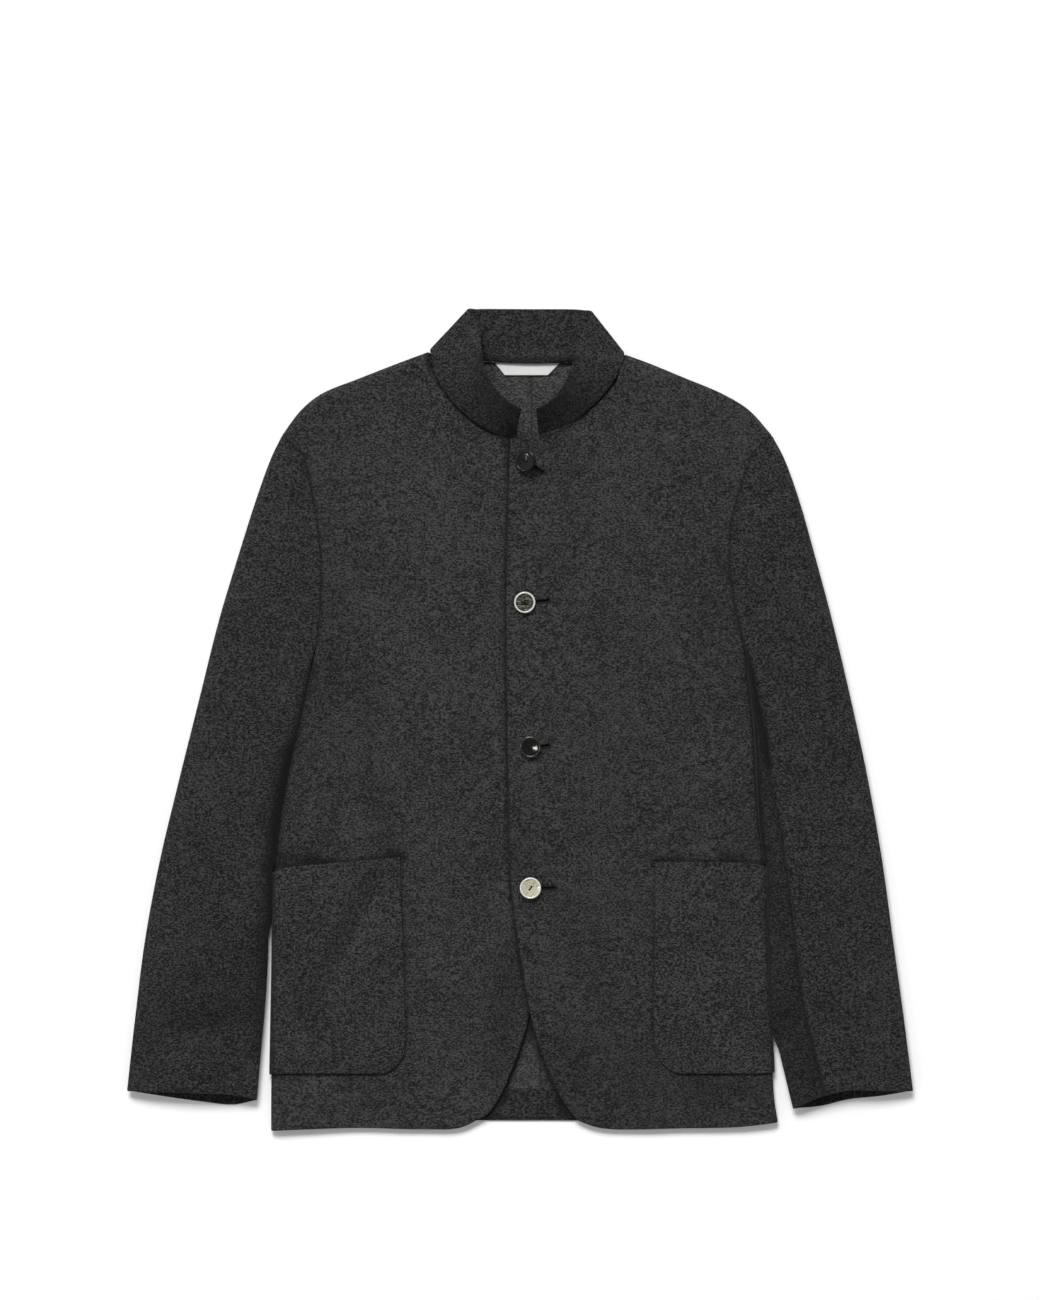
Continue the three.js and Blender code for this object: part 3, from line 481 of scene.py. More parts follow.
def layCloth(piece, node, grid, flat):
    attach(piece, "root")
    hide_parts(node)
    width, length = flat
    area = min(areaOf(grid), width * length)
    print(f"{piece.name}: {len(piece.data.polygons) * 2} triangles, {area:.4f} m2 of {width} x {length} m")


class Wire:
    # a shader socket that adds its own Math nodes when it is part of an expression

    def __init__(self, tree, socket=None):
        self.tree = tree
        self.socket = socket

    def make(self, kind, settings, inputs, output=0):
        node = self.tree.nodes.new(kind)
        for name, value in settings.items():
            setattr(node, name, value)
        for name, value in inputs.items():
            if isinstance(value, Wire):
                self.tree.links.new(value.socket, node.inputs[name])
            else:
                node.inputs[name].default_value = value
        return Wire(self.tree, node.outputs[output])

    def maths(self, operation, first, second=0.0):
        return self.make("ShaderNodeMath", {"operation": operation}, {0: first, 1: second})

    def __add__(self, other):
        return self.maths("ADD", self, other)

    def __radd__(self, other):
        return self.maths("ADD", other, self)

    def __sub__(self, other):
        return self.maths("SUBTRACT", self, other)

    def __rsub__(self, other):
        return self.maths("SUBTRACT", other, self)

    def __mul__(self, other):
        return self.maths("MULTIPLY", self, other)

    def __rmul__(self, other):
        return self.maths("MULTIPLY", other, self)

    def __truediv__(self, other):
        return self.maths("DIVIDE", self, other)

    def __pow__(self, other):
        return self.maths("POWER", self, other)

    def within(self, low, high):
        # 0 below low, 1 above high, smooth between
        return self.make(
            "ShaderNodeMapRange", {"interpolation_type": "SMOOTHSTEP"},
            {"Value": self, "From Min": low, "From Max": high, "To Min": 0.0, "To Max": 1.0},
        )

    def stretched(self, x, y, z=1.0):
        return self.make("ShaderNodeVectorMath", {"operation": "MULTIPLY"}, {0: self, 1: (x, y, z)})

    def noise(self, scale, detail=2.0, roughness=0.5, distortion=0.0):
        return self.make(
            "ShaderNodeTexNoise", {},
            {"Vector": self, "Scale": scale, "Detail": detail, "Roughness": roughness,
             "Distortion": distortion},
        )

    def mixed(self, first, second):
        # colours first and second, by this factor
        first = first if isinstance(first, Wire) else (*first, 1.0)
        second = second if isinstance(second, Wire) else (*second, 1.0)
        return self.make("ShaderNodeMix", {"data_type": "RGBA"}, {0: self, 6: first, 7: second}, 2)


def newMaterial(name):
    material = bpy.data.materials.new(name)
    material.use_nodes = True
    material.node_tree.nodes.clear()
    return material, Wire(material.node_tree)


def finishMaterial(wire, surface):
    output = wire.tree.nodes.new("ShaderNodeOutputMaterial")
    wire.tree.links.new(surface.socket, output.inputs["Surface"])


def grey(level, tint=(1.0, 1.0, 1.03)):
    return tuple(level * part for part in tint)


woolLook = {
    "dark": grey(0.0034), "light": grey(0.05, (1.0, 1.0, 1.0)),
    "fleckScale": 660.0, "fineScale": 1400.0, "cloudScale": 130.0, "broadScale": 16.0,
    "strandScale": 420.0,
    "fleck": 4.1, "fine": 2.2, "cloud": 1.15, "broad": 0.5, "strand": 0.16,
    "centre": 0.36,
    "bump": 0.35, "bumpDepth": 0.0006,
    "roughness": 0.93, "sheen": 0.06, "sheenRoughness": 0.5,
}


shareChanges = {"lighter": 1.15, "lower": 0.035}


def woolAtShare(share, **changes):
    # the same wool, as light as this share of the fronts, and as strongly flecked
    parts = {name: tuple(share * part for part in woolLook[name]) for name in ("dark", "light")}
    parts["light"] = tuple(shareChanges["lighter"] * part for part in parts["light"])
    flecks = {name: woolLook[name] / share for name in ("fleck", "fine")}
    return {**woolLook, **parts, **flecks, "centre": woolLook["centre"] - shareChanges["lower"], **changes}


def clamped(level):
    return level.maths("MAXIMUM", level.maths("MINIMUM", level, 1.0), 0.0)


def makeWool(name, look, lines=(), dim=None):
    # brushed flannel: dark and light fibres carded together, in flecks that lie across the cloth;
    # lines are dark dart seams and painted shadow in buttonhole slits (start, end, half width, share),
    # dim is painted shade below a y of the plan (low y, high y, share below)
    material, wire = newMaterial(name)
    cut = wire.make("ShaderNodeTexCoord", {}, {}, 3)
    lying = cut.stretched(0.66, 1.0)
    fleck = lying.noise(look["fleckScale"], 2.0, 0.6, 0.3)
    fine = lying.noise(look["fineScale"], 1.0, 0.5)
    cloud = cut.stretched(0.8, 1.0).noise(look["cloudScale"], 3.0, 0.65)
    broad = cut.noise(look["broadScale"], 2.0, 0.5)
    level = (fleck - 0.5) * look["fleck"] + (fine - 0.5) * look["fine"]
    level = level + (cloud - 0.5) * look["cloud"] + (broad - 0.5) * look["broad"] + look["centre"]
    strand = cut.stretched(0.8, 1.0).noise(look["strandScale"], 1.0, 0.5, 0.6) - 0.5
    level = level + look["strand"] * (1 - strand.maths("ABSOLUTE", strand).within(0.0, 0.035))
    colour = clamped(level).mixed(look["dark"], look["light"])
    # the shade attribute: painted shade and painted light of each point, multiplied into the colour
    shade = wire.make("ShaderNodeAttribute", {"attribute_name": "shade"}, {}, 2)
    for line in lines:
        shade = shade * (1 - line[3] * nearLine(wire, *line[:3]))
    if dim:
        height = cut.make("ShaderNodeSeparateXYZ", {}, {0: cut}, 1)
        shade = shade * (dim[2] + (1 - dim[2]) * height.within(dim[0], dim[1]))
    colour = shade.mixed((0.0, 0.0, 0.0), colour)
    relief = fleck * 0.6 + fine * 0.25 + cloud * 0.5
    normal = wire.make(
        "ShaderNodeBump", {},
        {"Strength": look["bump"], "Distance": look["bumpDepth"], "Height": relief},
    )
    finishMaterial(wire, wire.make(
        "ShaderNodeBsdfPrincipled", {},
        {"Base Color": colour, "Roughness": look["roughness"], "Normal": normal,
         "Sheen Weight": look["sheen"], "Sheen Roughness": look["sheenRoughness"],
         "Specular IOR Level": 0.2},
    ))
    return material


def nearLine(wire, start, end, halfWidth):
    # 1 on a line of the plan, fading over its half width
    flat = wire.make("ShaderNodeTexCoord", {}, {}, 3).stretched(1.0, 1.0, 0.0)
    origin = (start[0] * toMetres, start[1] * toMetres, 0.0)
    way = ((end[0] - start[0]) * toMetres, (end[1] - start[1]) * toMetres, 0.0)
    reach = flat.make("ShaderNodeVectorMath", {"operation": "SUBTRACT"}, {0: flat, 1: origin})
    dot = reach.make("ShaderNodeVectorMath", {"operation": "DOT_PRODUCT"}, {0: reach, 1: way}, 1)
    along = clamped(dot * (1 / (way[0] ** 2 + way[1] ** 2)))
    foot = along.make("ShaderNodeVectorMath", {"operation": "SCALE"}, {0: way, "Scale": along})
    away = reach.make("ShaderNodeVectorMath", {"operation": "DISTANCE"}, {0: reach, 1: foot}, 1)
    return 1 - away.within(halfWidth * 0.3 * toMetres, halfWidth * toMetres)


def makeTape(name):
    # off-white woven tape, bare
    material, wire = newMaterial(name)
    cut = wire.make("ShaderNodeTexCoord", {}, {}, 3)
    weave = cut.stretched(1.0, 0.35).noise(2600.0, 1.0, 0.5)
    soft = cut.noise(160.0, 2.0, 0.5)
    colour = (0.6 * weave + 0.4 * soft).mixed((0.5, 0.5, 0.485), (0.68, 0.68, 0.665))
    normal = wire.make("ShaderNodeBump", {}, {"Strength": 0.25, "Distance": 0.0002, "Height": weave})
    finishMaterial(wire, wire.make(
        "ShaderNodeBsdfPrincipled", {},
        {"Base Color": colour, "Roughness": 0.72, "Normal": normal, "Specular IOR Level": 0.3},
    ))
    return material


# Horn looks: a pale rim, a pale face or pale face streaks are painted reflections; dark horn and its faint
# streaks are its own colour
hornLooks = {
    "dark": {"dark": (0.006, 0.006, 0.005), "light": (0.02, 0.019, 0.016), "rim": (0.014, 0.013, 0.011),
             "streaks": (0.5, 0.8), "coat": 0.3, "specular": 0.5},
    "black": {"dark": (0.006, 0.006, 0.005), "light": (0.012, 0.011, 0.01), "rim": (0.012, 0.011, 0.01),
              "streaks": (0.5, 0.8), "coat": 0.0, "specular": 0.22},
    "paintedRing": {"dark": (0.009, 0.009, 0.006), "light": (0.2, 0.2, 0.155), "rim": (0.52, 0.52, 0.49),
               "streaks": (0.44, 0.7), "coat": 0.3, "specular": 0.5},
    "pale": {"dark": (0.1, 0.094, 0.062), "light": (0.45, 0.435, 0.34), "rim": (0.56, 0.56, 0.51),
             "streaks": (0.3, 0.52), "coat": 0.3, "specular": 0.5},
}


hornRim = (0.0082, 0.0086)  # metres from a button's centre


def makeHorn(name, look, row):
    # polished horn with its own streaks, and its rim; a pale rim is a painted reflection
    material, wire = newMaterial(name)
    place = wire.make("ShaderNodeTexCoord", {}, {}, 3)
    streak = place.stretched(1.0, 2.6, 1.0).noise(170.0, 3.0, 0.6, 1.6)
    face = streak.within(*look["streaks"]).mixed(look["dark"], look["light"])
    flat = place.stretched(1.0, 1.0, 0.0)
    centre = (row["x"] * toMetres, row["y"] * toMetres, 0.0)
    away = flat.make("ShaderNodeVectorMath", {"operation": "DISTANCE"}, {0: flat, 1: centre}, 1)
    # the rim colour, which where pale is a painted reflection
    colour = away.within(*hornRim).mixed(face, look["rim"])
    wear = place.noise(900.0, 2.0, 0.5)
    finishMaterial(wire, wire.make(
        "ShaderNodeBsdfPrincipled", {},
        {"Base Color": colour, "Roughness": 0.08 + 0.08 * wear, "Coat Weight": look["coat"],
         "Coat Roughness": 0.06, "Specular IOR Level": look["specular"]},
    ))
    return material


def makeThread(name):
    material, wire = newMaterial(name)
    place = wire.make("ShaderNodeTexCoord", {}, {}, 3)
    ply = place.noise(2400.0, 2.0, 0.6)
    colour = ply.mixed((0.003, 0.003, 0.003), (0.018, 0.018, 0.018))
    normal = wire.make("ShaderNodeBump", {}, {"Strength": 0.5, "Distance": 0.0002, "Height": ply})
    finishMaterial(wire, wire.make(
        "ShaderNodeBsdfPrincipled", {},
        {"Base Color": colour, "Roughness": 0.7, "Normal": normal, "Specular IOR Level": 0.15},
    ))
    return material


# Buttons and the buttonholes beside them: centre, where the hole ends, and its slope in degrees
buttons = [
    {"x": 6.2, "y": 245.1, "holeTo": 18.5, "slope": -34, "tilt": (-5, -28), "holeTurn": -25, "horn": "black"},
    {"x": 4.4, "y": 111.1, "holeTo": 22.2, "slope": 5, "tilt": (-1, 2), "holeTurn": 96, "horn": "paintedRing"},
    {"x": 10.0, "y": -26.1, "holeTo": 16.6, "slope": 4, "tilt": (0, -5.5), "holeTurn": -10, "horn": "dark"},
    {"x": 10.0, "y": -160.1, "holeTo": 22.0, "slope": 0, "tilt": (-3, -2), "holeTurn": 54, "horn": "pale"},
]
# the last two entries paint the shadow in each slit: its half width and the share of light taken
buttonhole = {"from": -5.0, "halfWidth": 0.9, "depth": 1.8, "eyelet": 1.7, "spacing": 0.62,
              "stitchLength": 1.9, "stitchThick": 0.5, "slitShadeWidth": 2.9, "slitShadeShare": 0.9}
buttonDip = {"away": 7.0, "depth": 4.6, "width": 5.5}  # dip of the cloth under a tipped button's low side

dartPaths = {
    "right": [(-143.5, 19.5), (-145.4, -18.5), (-133, -69.8), (-124.5, -118.3)],
    "left": [(167.2, -73.6), (161.5, -131.6)],
}
dartDim = {"halfWidth": 1.1, "share": 0.3}


def dartAndSlitShade(side):
    # the dark dart seam of a front, and the painted shadow in the slits of its buttonholes
    path = dartPaths[side]
    lines = [(*ends, dartDim["halfWidth"], dartDim["share"]) for ends in zip(path, path[1:])]
    for row in buttons if side == "left" else ():
        slope = math.radians(row["slope"])
        ends = [(row["x"] + reach * math.cos(slope), row["y"] + reach * math.sin(slope))
                for reach in (buttonhole["from"], row["holeTo"])]
        lines.append((*ends, buttonhole["slitShadeWidth"], buttonhole["slitShadeShare"]))
    return lines


woolFront = {side: makeWool(f"wool front {side}", woolLook, dartAndSlitShade(side)) for side in bothSides}
woolSleeve = makeWool("wool sleeve", woolAtShare(0.665))
woolPocket = makeWool("wool pocket", woolAtShare(0.82))
# dim: painted shade on the collar's front, below y 0.29 to 0.34 m
woolCollar = makeWool("wool collar", woolAtShare(0.63), dim=(0.29, 0.34, 0.85))
insideLook = woolAtShare(1.0, dark=grey(0.014), light=grey(0.076, (1.0, 1.0, 1.0)), bump=0.25)
woolInside = makeWool("wool reverse", insideLook)
tape = makeTape("label tape")
thread = makeThread("twist thread")
print("materials made")


def holeHeight(x, y):
    # the cut of each buttonhole, with a round eyelet at its outer end
    total = np.zeros_like(x)
    for row in buttons:
        slope = math.radians(row["slope"])
        along = (x - row["x"]) * math.cos(slope) + (y - row["y"]) * math.sin(slope)
        off = (y - row["y"]) * math.cos(slope) - (x - row["x"]) * math.sin(slope)
        past = np.maximum(along - row["holeTo"], 0) + np.maximum(buttonhole["from"] - along, 0)
        slit = np.exp(-((off / buttonhole["halfWidth"]) ** 4)) * np.exp(-((past / 0.6) ** 2))
        away = np.hypot(along - row["holeTo"], off)
        eyelet = np.exp(-((away / buttonhole["eyelet"]) ** 4))
        total -= buttonhole["depth"] * np.maximum(slit, eyelet)
        lean = math.radians(row["tilt"][1])
        low = np.hypot(x - row["x"] + buttonDip["away"] * math.copysign(1, -lean), y - row["y"])
        total -= buttonDip["depth"] * abs(math.sin(lean)) * np.exp(-((low / buttonDip["width"]) ** 2))
    return total


def dressedFront(side):
    # height of a front's outer face with its creases, and of its inner face an inset below
    def heightAt(x, y, inset):
        height = frontFace(x, y, side)
        if side == "left":
            height = height + holeHeight(x, y) * (inset < cloth["body"] / 2)
        return height - inset

    return heightAt


# Painted shade beside edges and in deep folds, creases and pocket mouths, the dark lines of seams, and
# painted light where the share is below 0: path, half width, share of light taken
sidePath = {side: sideOf(sideSections[::-1], side) for side in bothSides}
armholePath = {side: sideOf(armholeSections, side) for side in bothSides}
pocketPath = {
    "right": [(-236, -140.1), (-114, -130.6), (-107.6, -290), (-109, -310), (-118, -327),
              (-139, -336.3), (-236, -336.3)],
    "left": [(236, -135.8), (128.2, -134.9), (126.8, -290), (128, -312), (140, -329), (160, -336.3),
             (238, -336.3)],
}
shadeAndSeamLines = {
    "front_right": [
        (frontEdge["left"][3:], 3.0, 0.85), (armholePath["right"], 1.6, 0.62),
        (sidePath["right"][:6], 5.0, 0.7), (neckLine["right"], 2.6, 0.45),
        (pocketPath["right"][1:6], 2.4, 0.42), (pocketPath["right"][:2], 2.8, 0.75),
        (pocketPath["right"][5:], 3.0, 0.45),
        ([(-225, -130), (-181, -136)], 6, 0.6), ([(-123, -128), (-112, -130)], 6, 0.6),
        ([(-197, -117), (-125, -117)], 11, 0.14), ([(-235, -342), (-209, -342)], 6, 0.2),
        ([(-82, -66), (-42, -66)], 14, -0.1), ([(-88.4, 348.2), (-86.5, 334)], 2.2, 0.85),
        ([(-144, 50), (-146, -40), (-133, -75), (-125, -116)], 10, 0.18),
        (armholePath["right"], 45, 0.15), (sidePath["right"][:6], 32, 0.12),
        ([(-8, -225), (-14, -285), (-20, -320)], 16, 0.3), ([(-9.5, 262), (-11.5, 232)], 3.0, 0.5),
        ([(-19, 262.7), (10, 257)], 2.4, 0.3), ([(-9, 277), (1, 268)], 4.5, 0.85),
        (frontEdge["right"][:6], 1.4, 0.35),
    ],
    "front_left": [
        (frontEdge["left"], 0.9, 0.55), (armholePath["left"], 1.6, 0.62),
        ([(155, -112), (226, -112)], 11, 0.14), ([(118, -130), (168, -134)], 8, 0.16),
        ([(128, -136), (150, -133)], 6, 0.45), (sidePath["left"] + frontEdge["left"], 400, 0.05),
        ([(171, -351), (228, -351)], 8, 0.2), ([(0, -110), (10, -140)], 14, 0.2),
        ([(95, -5), (95, -72)], 18, 0.1), ([(65, -170), (115, -175)], 22, 0.1),
        (sidePath["left"][:8], 3.4, 0.7), (neckLine["left"], 2.4, 0.4),
        (armholePath["left"], 40, 0.12), (sidePath["left"][:6], 28, 0.12),
        ([(60, -335), (205, -345)], 42, 0.22),
        (pocketPath["left"][1:6], 2.4, 0.42), (pocketPath["left"][:2], 2.8, 0.65),
        (pocketPath["left"][5:], 1.6, 0.25),
        ([(191, -130.6), (211, -131)], 6, 0.55), ([(191, 141), (240, 113)], 2.8, 0.5),
        ([(10, 257), (22, 256), (36, 261)], 2.2, 0.3),
    ],
    "pocket_right": [
        (pocketPath["right"], 1.1, 0.35), ([(-139, -146), (-203, -274)], 11, 0.28),
        ([(-122, -168), (-168, -262)], 14, -0.08), ([(-232, -330), (-120, -330)], 7, 0.15),
        (sidePath["right"][5:], 2.4, 0.5),
    ],
    "pocket_left": [
        (pocketPath["left"], 1.1, 0.35), ([(191, -172), (197, -219)], 7, 0.14),
        (sidePath["left"][6:], 1.8, 0.5), ([(161, -188), (163, -202)], 16, -0.1),
    ],
    "sleeve_right": [
        (armholePath["right"], 1.6, 0.62), (sidePath["right"][:4], 3.4, 0.6),
        (sidePath["right"][2:8], 11, 0.95), ([(-201, 254), (-189, 217)], 7, 0.42),
        ([(-216, 215), (-212, 120), (-216, 40)], 22, -0.12),
        ([(-345, -268), (-258, -258)], 42, 0.2),
        ([(-246, -200), (-247, -314)], 8, 0.4), ([(-354, -297), (-250, -277)], 13, 0.16),
        ([(-262, 151), (-296, 18), (-334, -133), (-358, -285)], 16, -0.1),
        ([(-370, -350), (-255, -358)], 16, -0.4),
    ],
    "sleeve_left": [
        (armholePath["left"], 1.6, 0.62), (sidePath["left"][:7], 3.4, 0.9),
        (sidePath["left"][6:10], 3.0, 0.6), ([(216, 118), (240, 110)], 3, 0.35),
        ([(238, 250), (264, 150), (288, 60), (302, -40)], 48, -0.26),
        ([(214, 62), (223, 25), (232, -15), (236, -44)], 4.6, 0.92),
        ([(250, -276), (258, -300)], 14, 0.15),
        ([(270, -310), (282, -358)], 10, 0.2), ([(262, -362), (370, -350)], 16, -0.22),
        ([(262, -56), (266, -104)], 8, 0.2),
    ],
    "back": [
        (frontEdge["right"], 6.0, 0.85), (frontEdge["left"], 6.0, 0.8), (backSeam, 1.3, 0.42),
        (sidePath["right"], 5.0, 0.85), (sidePath["left"], 5.0, 0.85),
    ],
    "turnup": [
        (frontEdge["right"], 6.0, 0.85), (frontEdge["left"], 5.0, 0.8),
        ([(-24, -356), (-14, -358)], 5, 0.6), ([(38, -352), (40, -375)], 5, 0.6),
    ],
    "collar": [
        ([(-9, 276), (-2, 269)], 5.0, 0.95), ([(-88.4, 348.2), (-86.5, 334)], 2.2, 0.85),
        ([(1, 293), (-12, 301), (-25, 316), (-34, 334)], 17, 0.52),
        ([(15, 293), (28, 301), (40, 313), (47, 329)], 14, 0.36),
        ([(-36, 341.5), (52, 341.5)], 2.6, 0.6), ([(-37, 343), (-34, 341)], 4, 0.5),
        ([(49, 341), (52, 343)], 4, 0.5),
    ],
}


def shadeOf(points, family):
    return lineShade(points[..., 0], points[..., 1], shadeAndSeamLines[family])


frontPlan = {
    side: planPatch(
        pathThrough(frontHem[side]),
        joined(pathThrough(neckLine[side]), pathThrough(shoulderOf(side)), bodyCut["neckShare"]),
        pathThrough(frontEdge[side]),
        sideEdge(side, frontHem),
    )
    for side in bothSides
}
foldTurns = np.array([90, 81, 72, 63, 54, 45, 36, 27, 19, 12, 6, 0.0])
edgeSteps = np.array([0, 0.2, 0.5, 0.9, 1.4, 2.0])
frontGrid = {"width": 245.0, "height": 650.0, "column": 2.3, "row": 2.9, "lastFlat": 0.964,
             "backColumn": 3.4, "backRow": 4.4}


def evenBetween(low, high, step):
    return np.linspace(low, high, max(int(round((high - low) / step)), 1) + 1)


def panelColumns(width, step):
    neck = bodyCut["neckShare"]
    start = edgeSteps / width
    first = evenBetween(start[-1], neck, step / width)[1:]
    rest = evenBetween(neck, frontGrid["lastFlat"], step / width)[1:]
    return Steps(np.concatenate([start, first, rest]), foldTurns)


def panelRows(height, step, extra=()):
    start = edgeSteps / height
    last = 1 - fold["shoulderRound"] * 1.15 / height
    underarm = bodyCut["underarmShare"]
    rest = np.concatenate([evenBetween(start[-1], underarm, step / height)[1:],
                           evenBetween(underarm, last, step / height)[1:]])
    return Steps(np.unique(np.concatenate([start, rest, extra])), foldTurns)


def buttonholeRows():
    # rows close together where a buttonhole crosses the panel
    edge = pathThrough(frontEdge["left"])
    shares = np.linspace(0, 1, 4001)
    edgeY = edge(shares)[:, 1]
    extra = []
    for row in buttons:
        drop = (row["holeTo"] + 2) * math.sin(math.radians(row["slope"]))
        low, high = sorted([row["y"], row["y"] + drop])
        wanted = np.arange(low - 2.6, high + 2.6, 0.42)
        extra.append(np.interp(wanted, edgeY, shares))
    return np.concatenate(extra)


def makeFront(side):
    columns = panelColumns(frontGrid["width"], frontGrid["column"])
    extra = buttonholeRows() if side == "left" else ()
    rows = panelRows(frontGrid["height"], frontGrid["row"], extra)
    surface = bodySurface(frontPlan[side], dressedFront(side), cloth["seamGap"] / 2, 0.0)
    outer, inner = wallOf(surface, columns, rows, cloth["body"])
    shade = shadeOf(outer, f"front_{side}")
    piece = wallPiece(f"front_{side}_cloth", outer, inner, woolFront[side], shade)
    flat = (0.305, 0.735) if side == "right" else (0.3, 0.732)
    layCloth(piece, f"front_{side}", outer, flat)


for side in bothSides:
    makeFront(side)


def makeBack(side):
    hem = pathThrough(backHem[side])
    top = joined(pathThrough(backNeck[side]), pathThrough(shoulderOf(side)), bodyCut["neckShare"])
    plan = planPatch(hem, top, pathThrough(backSeam), sideEdge(side, backHem))

    def heightAt(x, y, inset):
        return inset + creaseHeight(x, y, backCreases)

    surface = bodySurface(plan, heightAt, -cloth["seamGap"] / 2, -cloth["seamMeet"])
    columns = panelColumns(frontGrid["width"], frontGrid["backColumn"])
    rows = panelRows(frontGrid["height"], frontGrid["backRow"])
    outer, inner = wallOf(surface, columns, rows, cloth["body"])
    piece = wallPiece(f"back_{side}_cloth", outer, inner, woolInside, shadeOf(outer, "back"))
    layCloth(piece, f"back_{side}", outer, (0.262, 0.745))


for side in bothSides:
    makeBack(side)
print("body panels made")

turnupCut = {"right": -76.0, "left": 95.0, "top": -350.6, "bottom": -378.5, "sideLap": 3.0}


def makeTurnup():
    u = np.concatenate([edgeSteps / 171, evenBetween(0.02, 0.98, 0.012), 1 - edgeSteps[::-1] / 171])
    v = np.concatenate([edgeSteps / 28, evenBetween(0.1, 0.9, 0.06), 1 - edgeSteps[::-1] / 28])
    u, v = np.meshgrid(u, v)
    slant = turnupCut["sideLap"] * np.abs(u * 2 - 1)
    x = lerp(turnupCut["right"], turnupCut["left"], u)
    y = lerp(turnupCut["bottom"] - slant / 4, turnupCut["top"], v)
    base = cloth["body"] + cloth["seamGap"]
    drift = 0.25 * (1 + np.sin(x / 19 + 1.3)) * v
    middle = np.stack([x, y, base + cloth["turnup"] / 2 + drift], -1)
    left = edgeShare(middle, allRound)[..., None] * cloth["turnup"] / 2 * np.array([0, 0, 1.0])
    shade = shadeOf(middle, "turnup")
    piece = wallPiece("back_hem_turnup_cloth", middle + left, middle - left, woolSleeve, shade)
    layCloth(piece, "back_hem_turnup", middle, (0.172, 0.029))


makeTurnup()

pocketCut = {
    "right": {"mouthSideY": -140.1, "innerX": -114.0, "mouthInnerY": -130.6, "lowX": -107.3,
              "bottomY": -336.3, "corner": 32.0},
    "left": {"mouthSideY": -135.8, "innerX": 128.2, "mouthInnerY": -134.9, "lowX": 126.6,
             "bottomY": -336.3, "corner": 34.0},
}
pocketLie = {"flatEnd": 14.0, "cornerShare": 0.86, "cornerEnd": 0.985}


def placeOn(plan, x, y):
    # where plan points lie on a patch, by Newton's rule
    step = 1e-3
    u, v = np.full_like(x, 0.6), np.full_like(x, 0.2)
    for _ in range(8):
        here = plan(u, v)
        du = (plan(u + step, v) - here) / step
        dv = (plan(u, v + step) - here) / step
        det = du[..., 0] * dv[..., 1] - dv[..., 0] * du[..., 1]
        offX, offY = x - here[..., 0], y - here[..., 1]
        u = u + (offX * dv[..., 1] - offY * dv[..., 0]) / det
        v = v + (offY * du[..., 0] - offX * du[..., 1]) / det
    return u, v


def makePocket(side):
    # the front's own surface, moved out, inside the pocket's outline
    size, plan = pocketCut[side], frontPlan[side]
    out = math.copysign(1, size["innerX"])
    tall = size["mouthInnerY"] - size["bottomY"]
    lowSteps = evenBetween(2.0, size["corner"], 1.6)
    highSteps = evenBetween(size["corner"], tall - 2.0, 2.4)[1:]
    rise = np.concatenate([edgeSteps[:-1], lowSteps, highSteps, tall - edgeSteps[-2::-1]])
    levels = (size["bottomY"] + rise)[:, None]
    up = rise[:, None] / tall
    into = np.clip((size["corner"] - rise[:, None]) / size["corner"], 0, 1)
    round = pocketLie["cornerShare"] * (1 - np.sqrt(1 - into**2 * pocketLie["cornerEnd"]))
    innerX = lerp(size["lowX"], size["innerX"], up) + out * size["corner"] * round
    sideY = levels + (size["mouthSideY"] - size["mouthInnerY"]) * up**6
    sideX = np.interp(sideY, columnOf(sideSections, 0), columnOf(sideSections, sideColumn(side)))
    flatX = sideX - out * pocketLie["flatEnd"]
    share = np.concatenate([edgeSteps / 110, evenBetween(0.022, 1.0, 0.019)])[None, :]
    flatU, flatV = placeOn(plan, lerp(innerX, flatX, share), lerp(levels, sideY, share))
    foldU, foldV = placeOn(plan, flatX, sideY)
    height = dressedFront(side)

    def surface(inset):
        # the same lie as bodySurface gives, at free places on the patch
        count = len(share[0])
        turn = np.concatenate([np.full(count, math.pi / 2), np.radians(foldTurns)])[None, :]
        u = np.concatenate([flatU, np.ones((len(rise), len(foldTurns)))], 1)
        v = np.concatenate([flatV, np.repeat(foldV, len(foldTurns), 1)], 1)
        width = np.linalg.norm(plan(0.0, v) - plan(1.0, v), axis=-1)
        reach = fold["sideRound"] * (1 - np.cos(turn)) + inset * np.cos(turn)
        onFold = np.arange(u.shape[1])[None, :] >= count
        point = plan(np.where(onFold, 1 - reach / width, u), v)
        seam = fold["sideHeight"] + cloth["seamGap"] / 2
        z = seam + (height(point[..., 0], point[..., 1], inset) - seam) * np.sin(turn)
        return np.stack([point[..., 0], point[..., 1], z], -1)

    thick = cloth["pocket"]
    middle = -cloth["layGap"] - thick / 2
    blank = np.full((len(rise), len(share[0]) + len(foldTurns)), middle)
    left = edgeShare(surface(blank), ("first column", "first row", "last row"))
    outer = surface(middle - thick / 2 * left)
    inner = surface(middle + thick / 2 * left)
    piece = wallPiece(f"pocket_{side}_cloth", outer, inner, woolPocket, shadeOf(outer, f"pocket_{side}"))
    layCloth(piece, f"pocket_{side}", outer, (0.14, 0.21))


for side in bothSides:
    makePocket(side)
print("pockets made")

# Sleeve sections from armhole to cuff: outer x, outer y, inner x, inner y
sleeveSections = {
    "right": [
        (-226.1, 270, -198.4, 52), (-236.5, 248.4, -206.9, 17.6), (-250.8, 208.5, -217.4, -29),
        (-268.8, 151.5, -224, -59), (-285.9, 94.5, -231.6, -100.2), (-304.9, 18.5, -236.8, -141.1),
        (-323.9, -57.5, -238.4, -198.1), (-342, -133.5, -240.4, -247.5),
        (-356.2, -209.5, -243.2, -285.5), (-365.8, -285.5, -246.8, -325),
        (-373.3, -352.9, -249.8, -361.5),
    ],
    "left": [
        (239.4, 270, 215.9, 52), (250.8, 248.4, 221, 18), (265.1, 208.5, 224.8, -29),
        (281.2, 151.5, 226.2, -62), (296.4, 94.5, 229.4, -102), (314.4, 18.5, 235.9, -143),
        (330.6, -57.5, 237.3, -192), (343.9, -133.5, 239.4, -256), (354.3, -209.5, 242.6, -298),
        (364.8, -285.5, 250.2, -332), (373.3, -352.9, 259.3, -370),
    ],
}
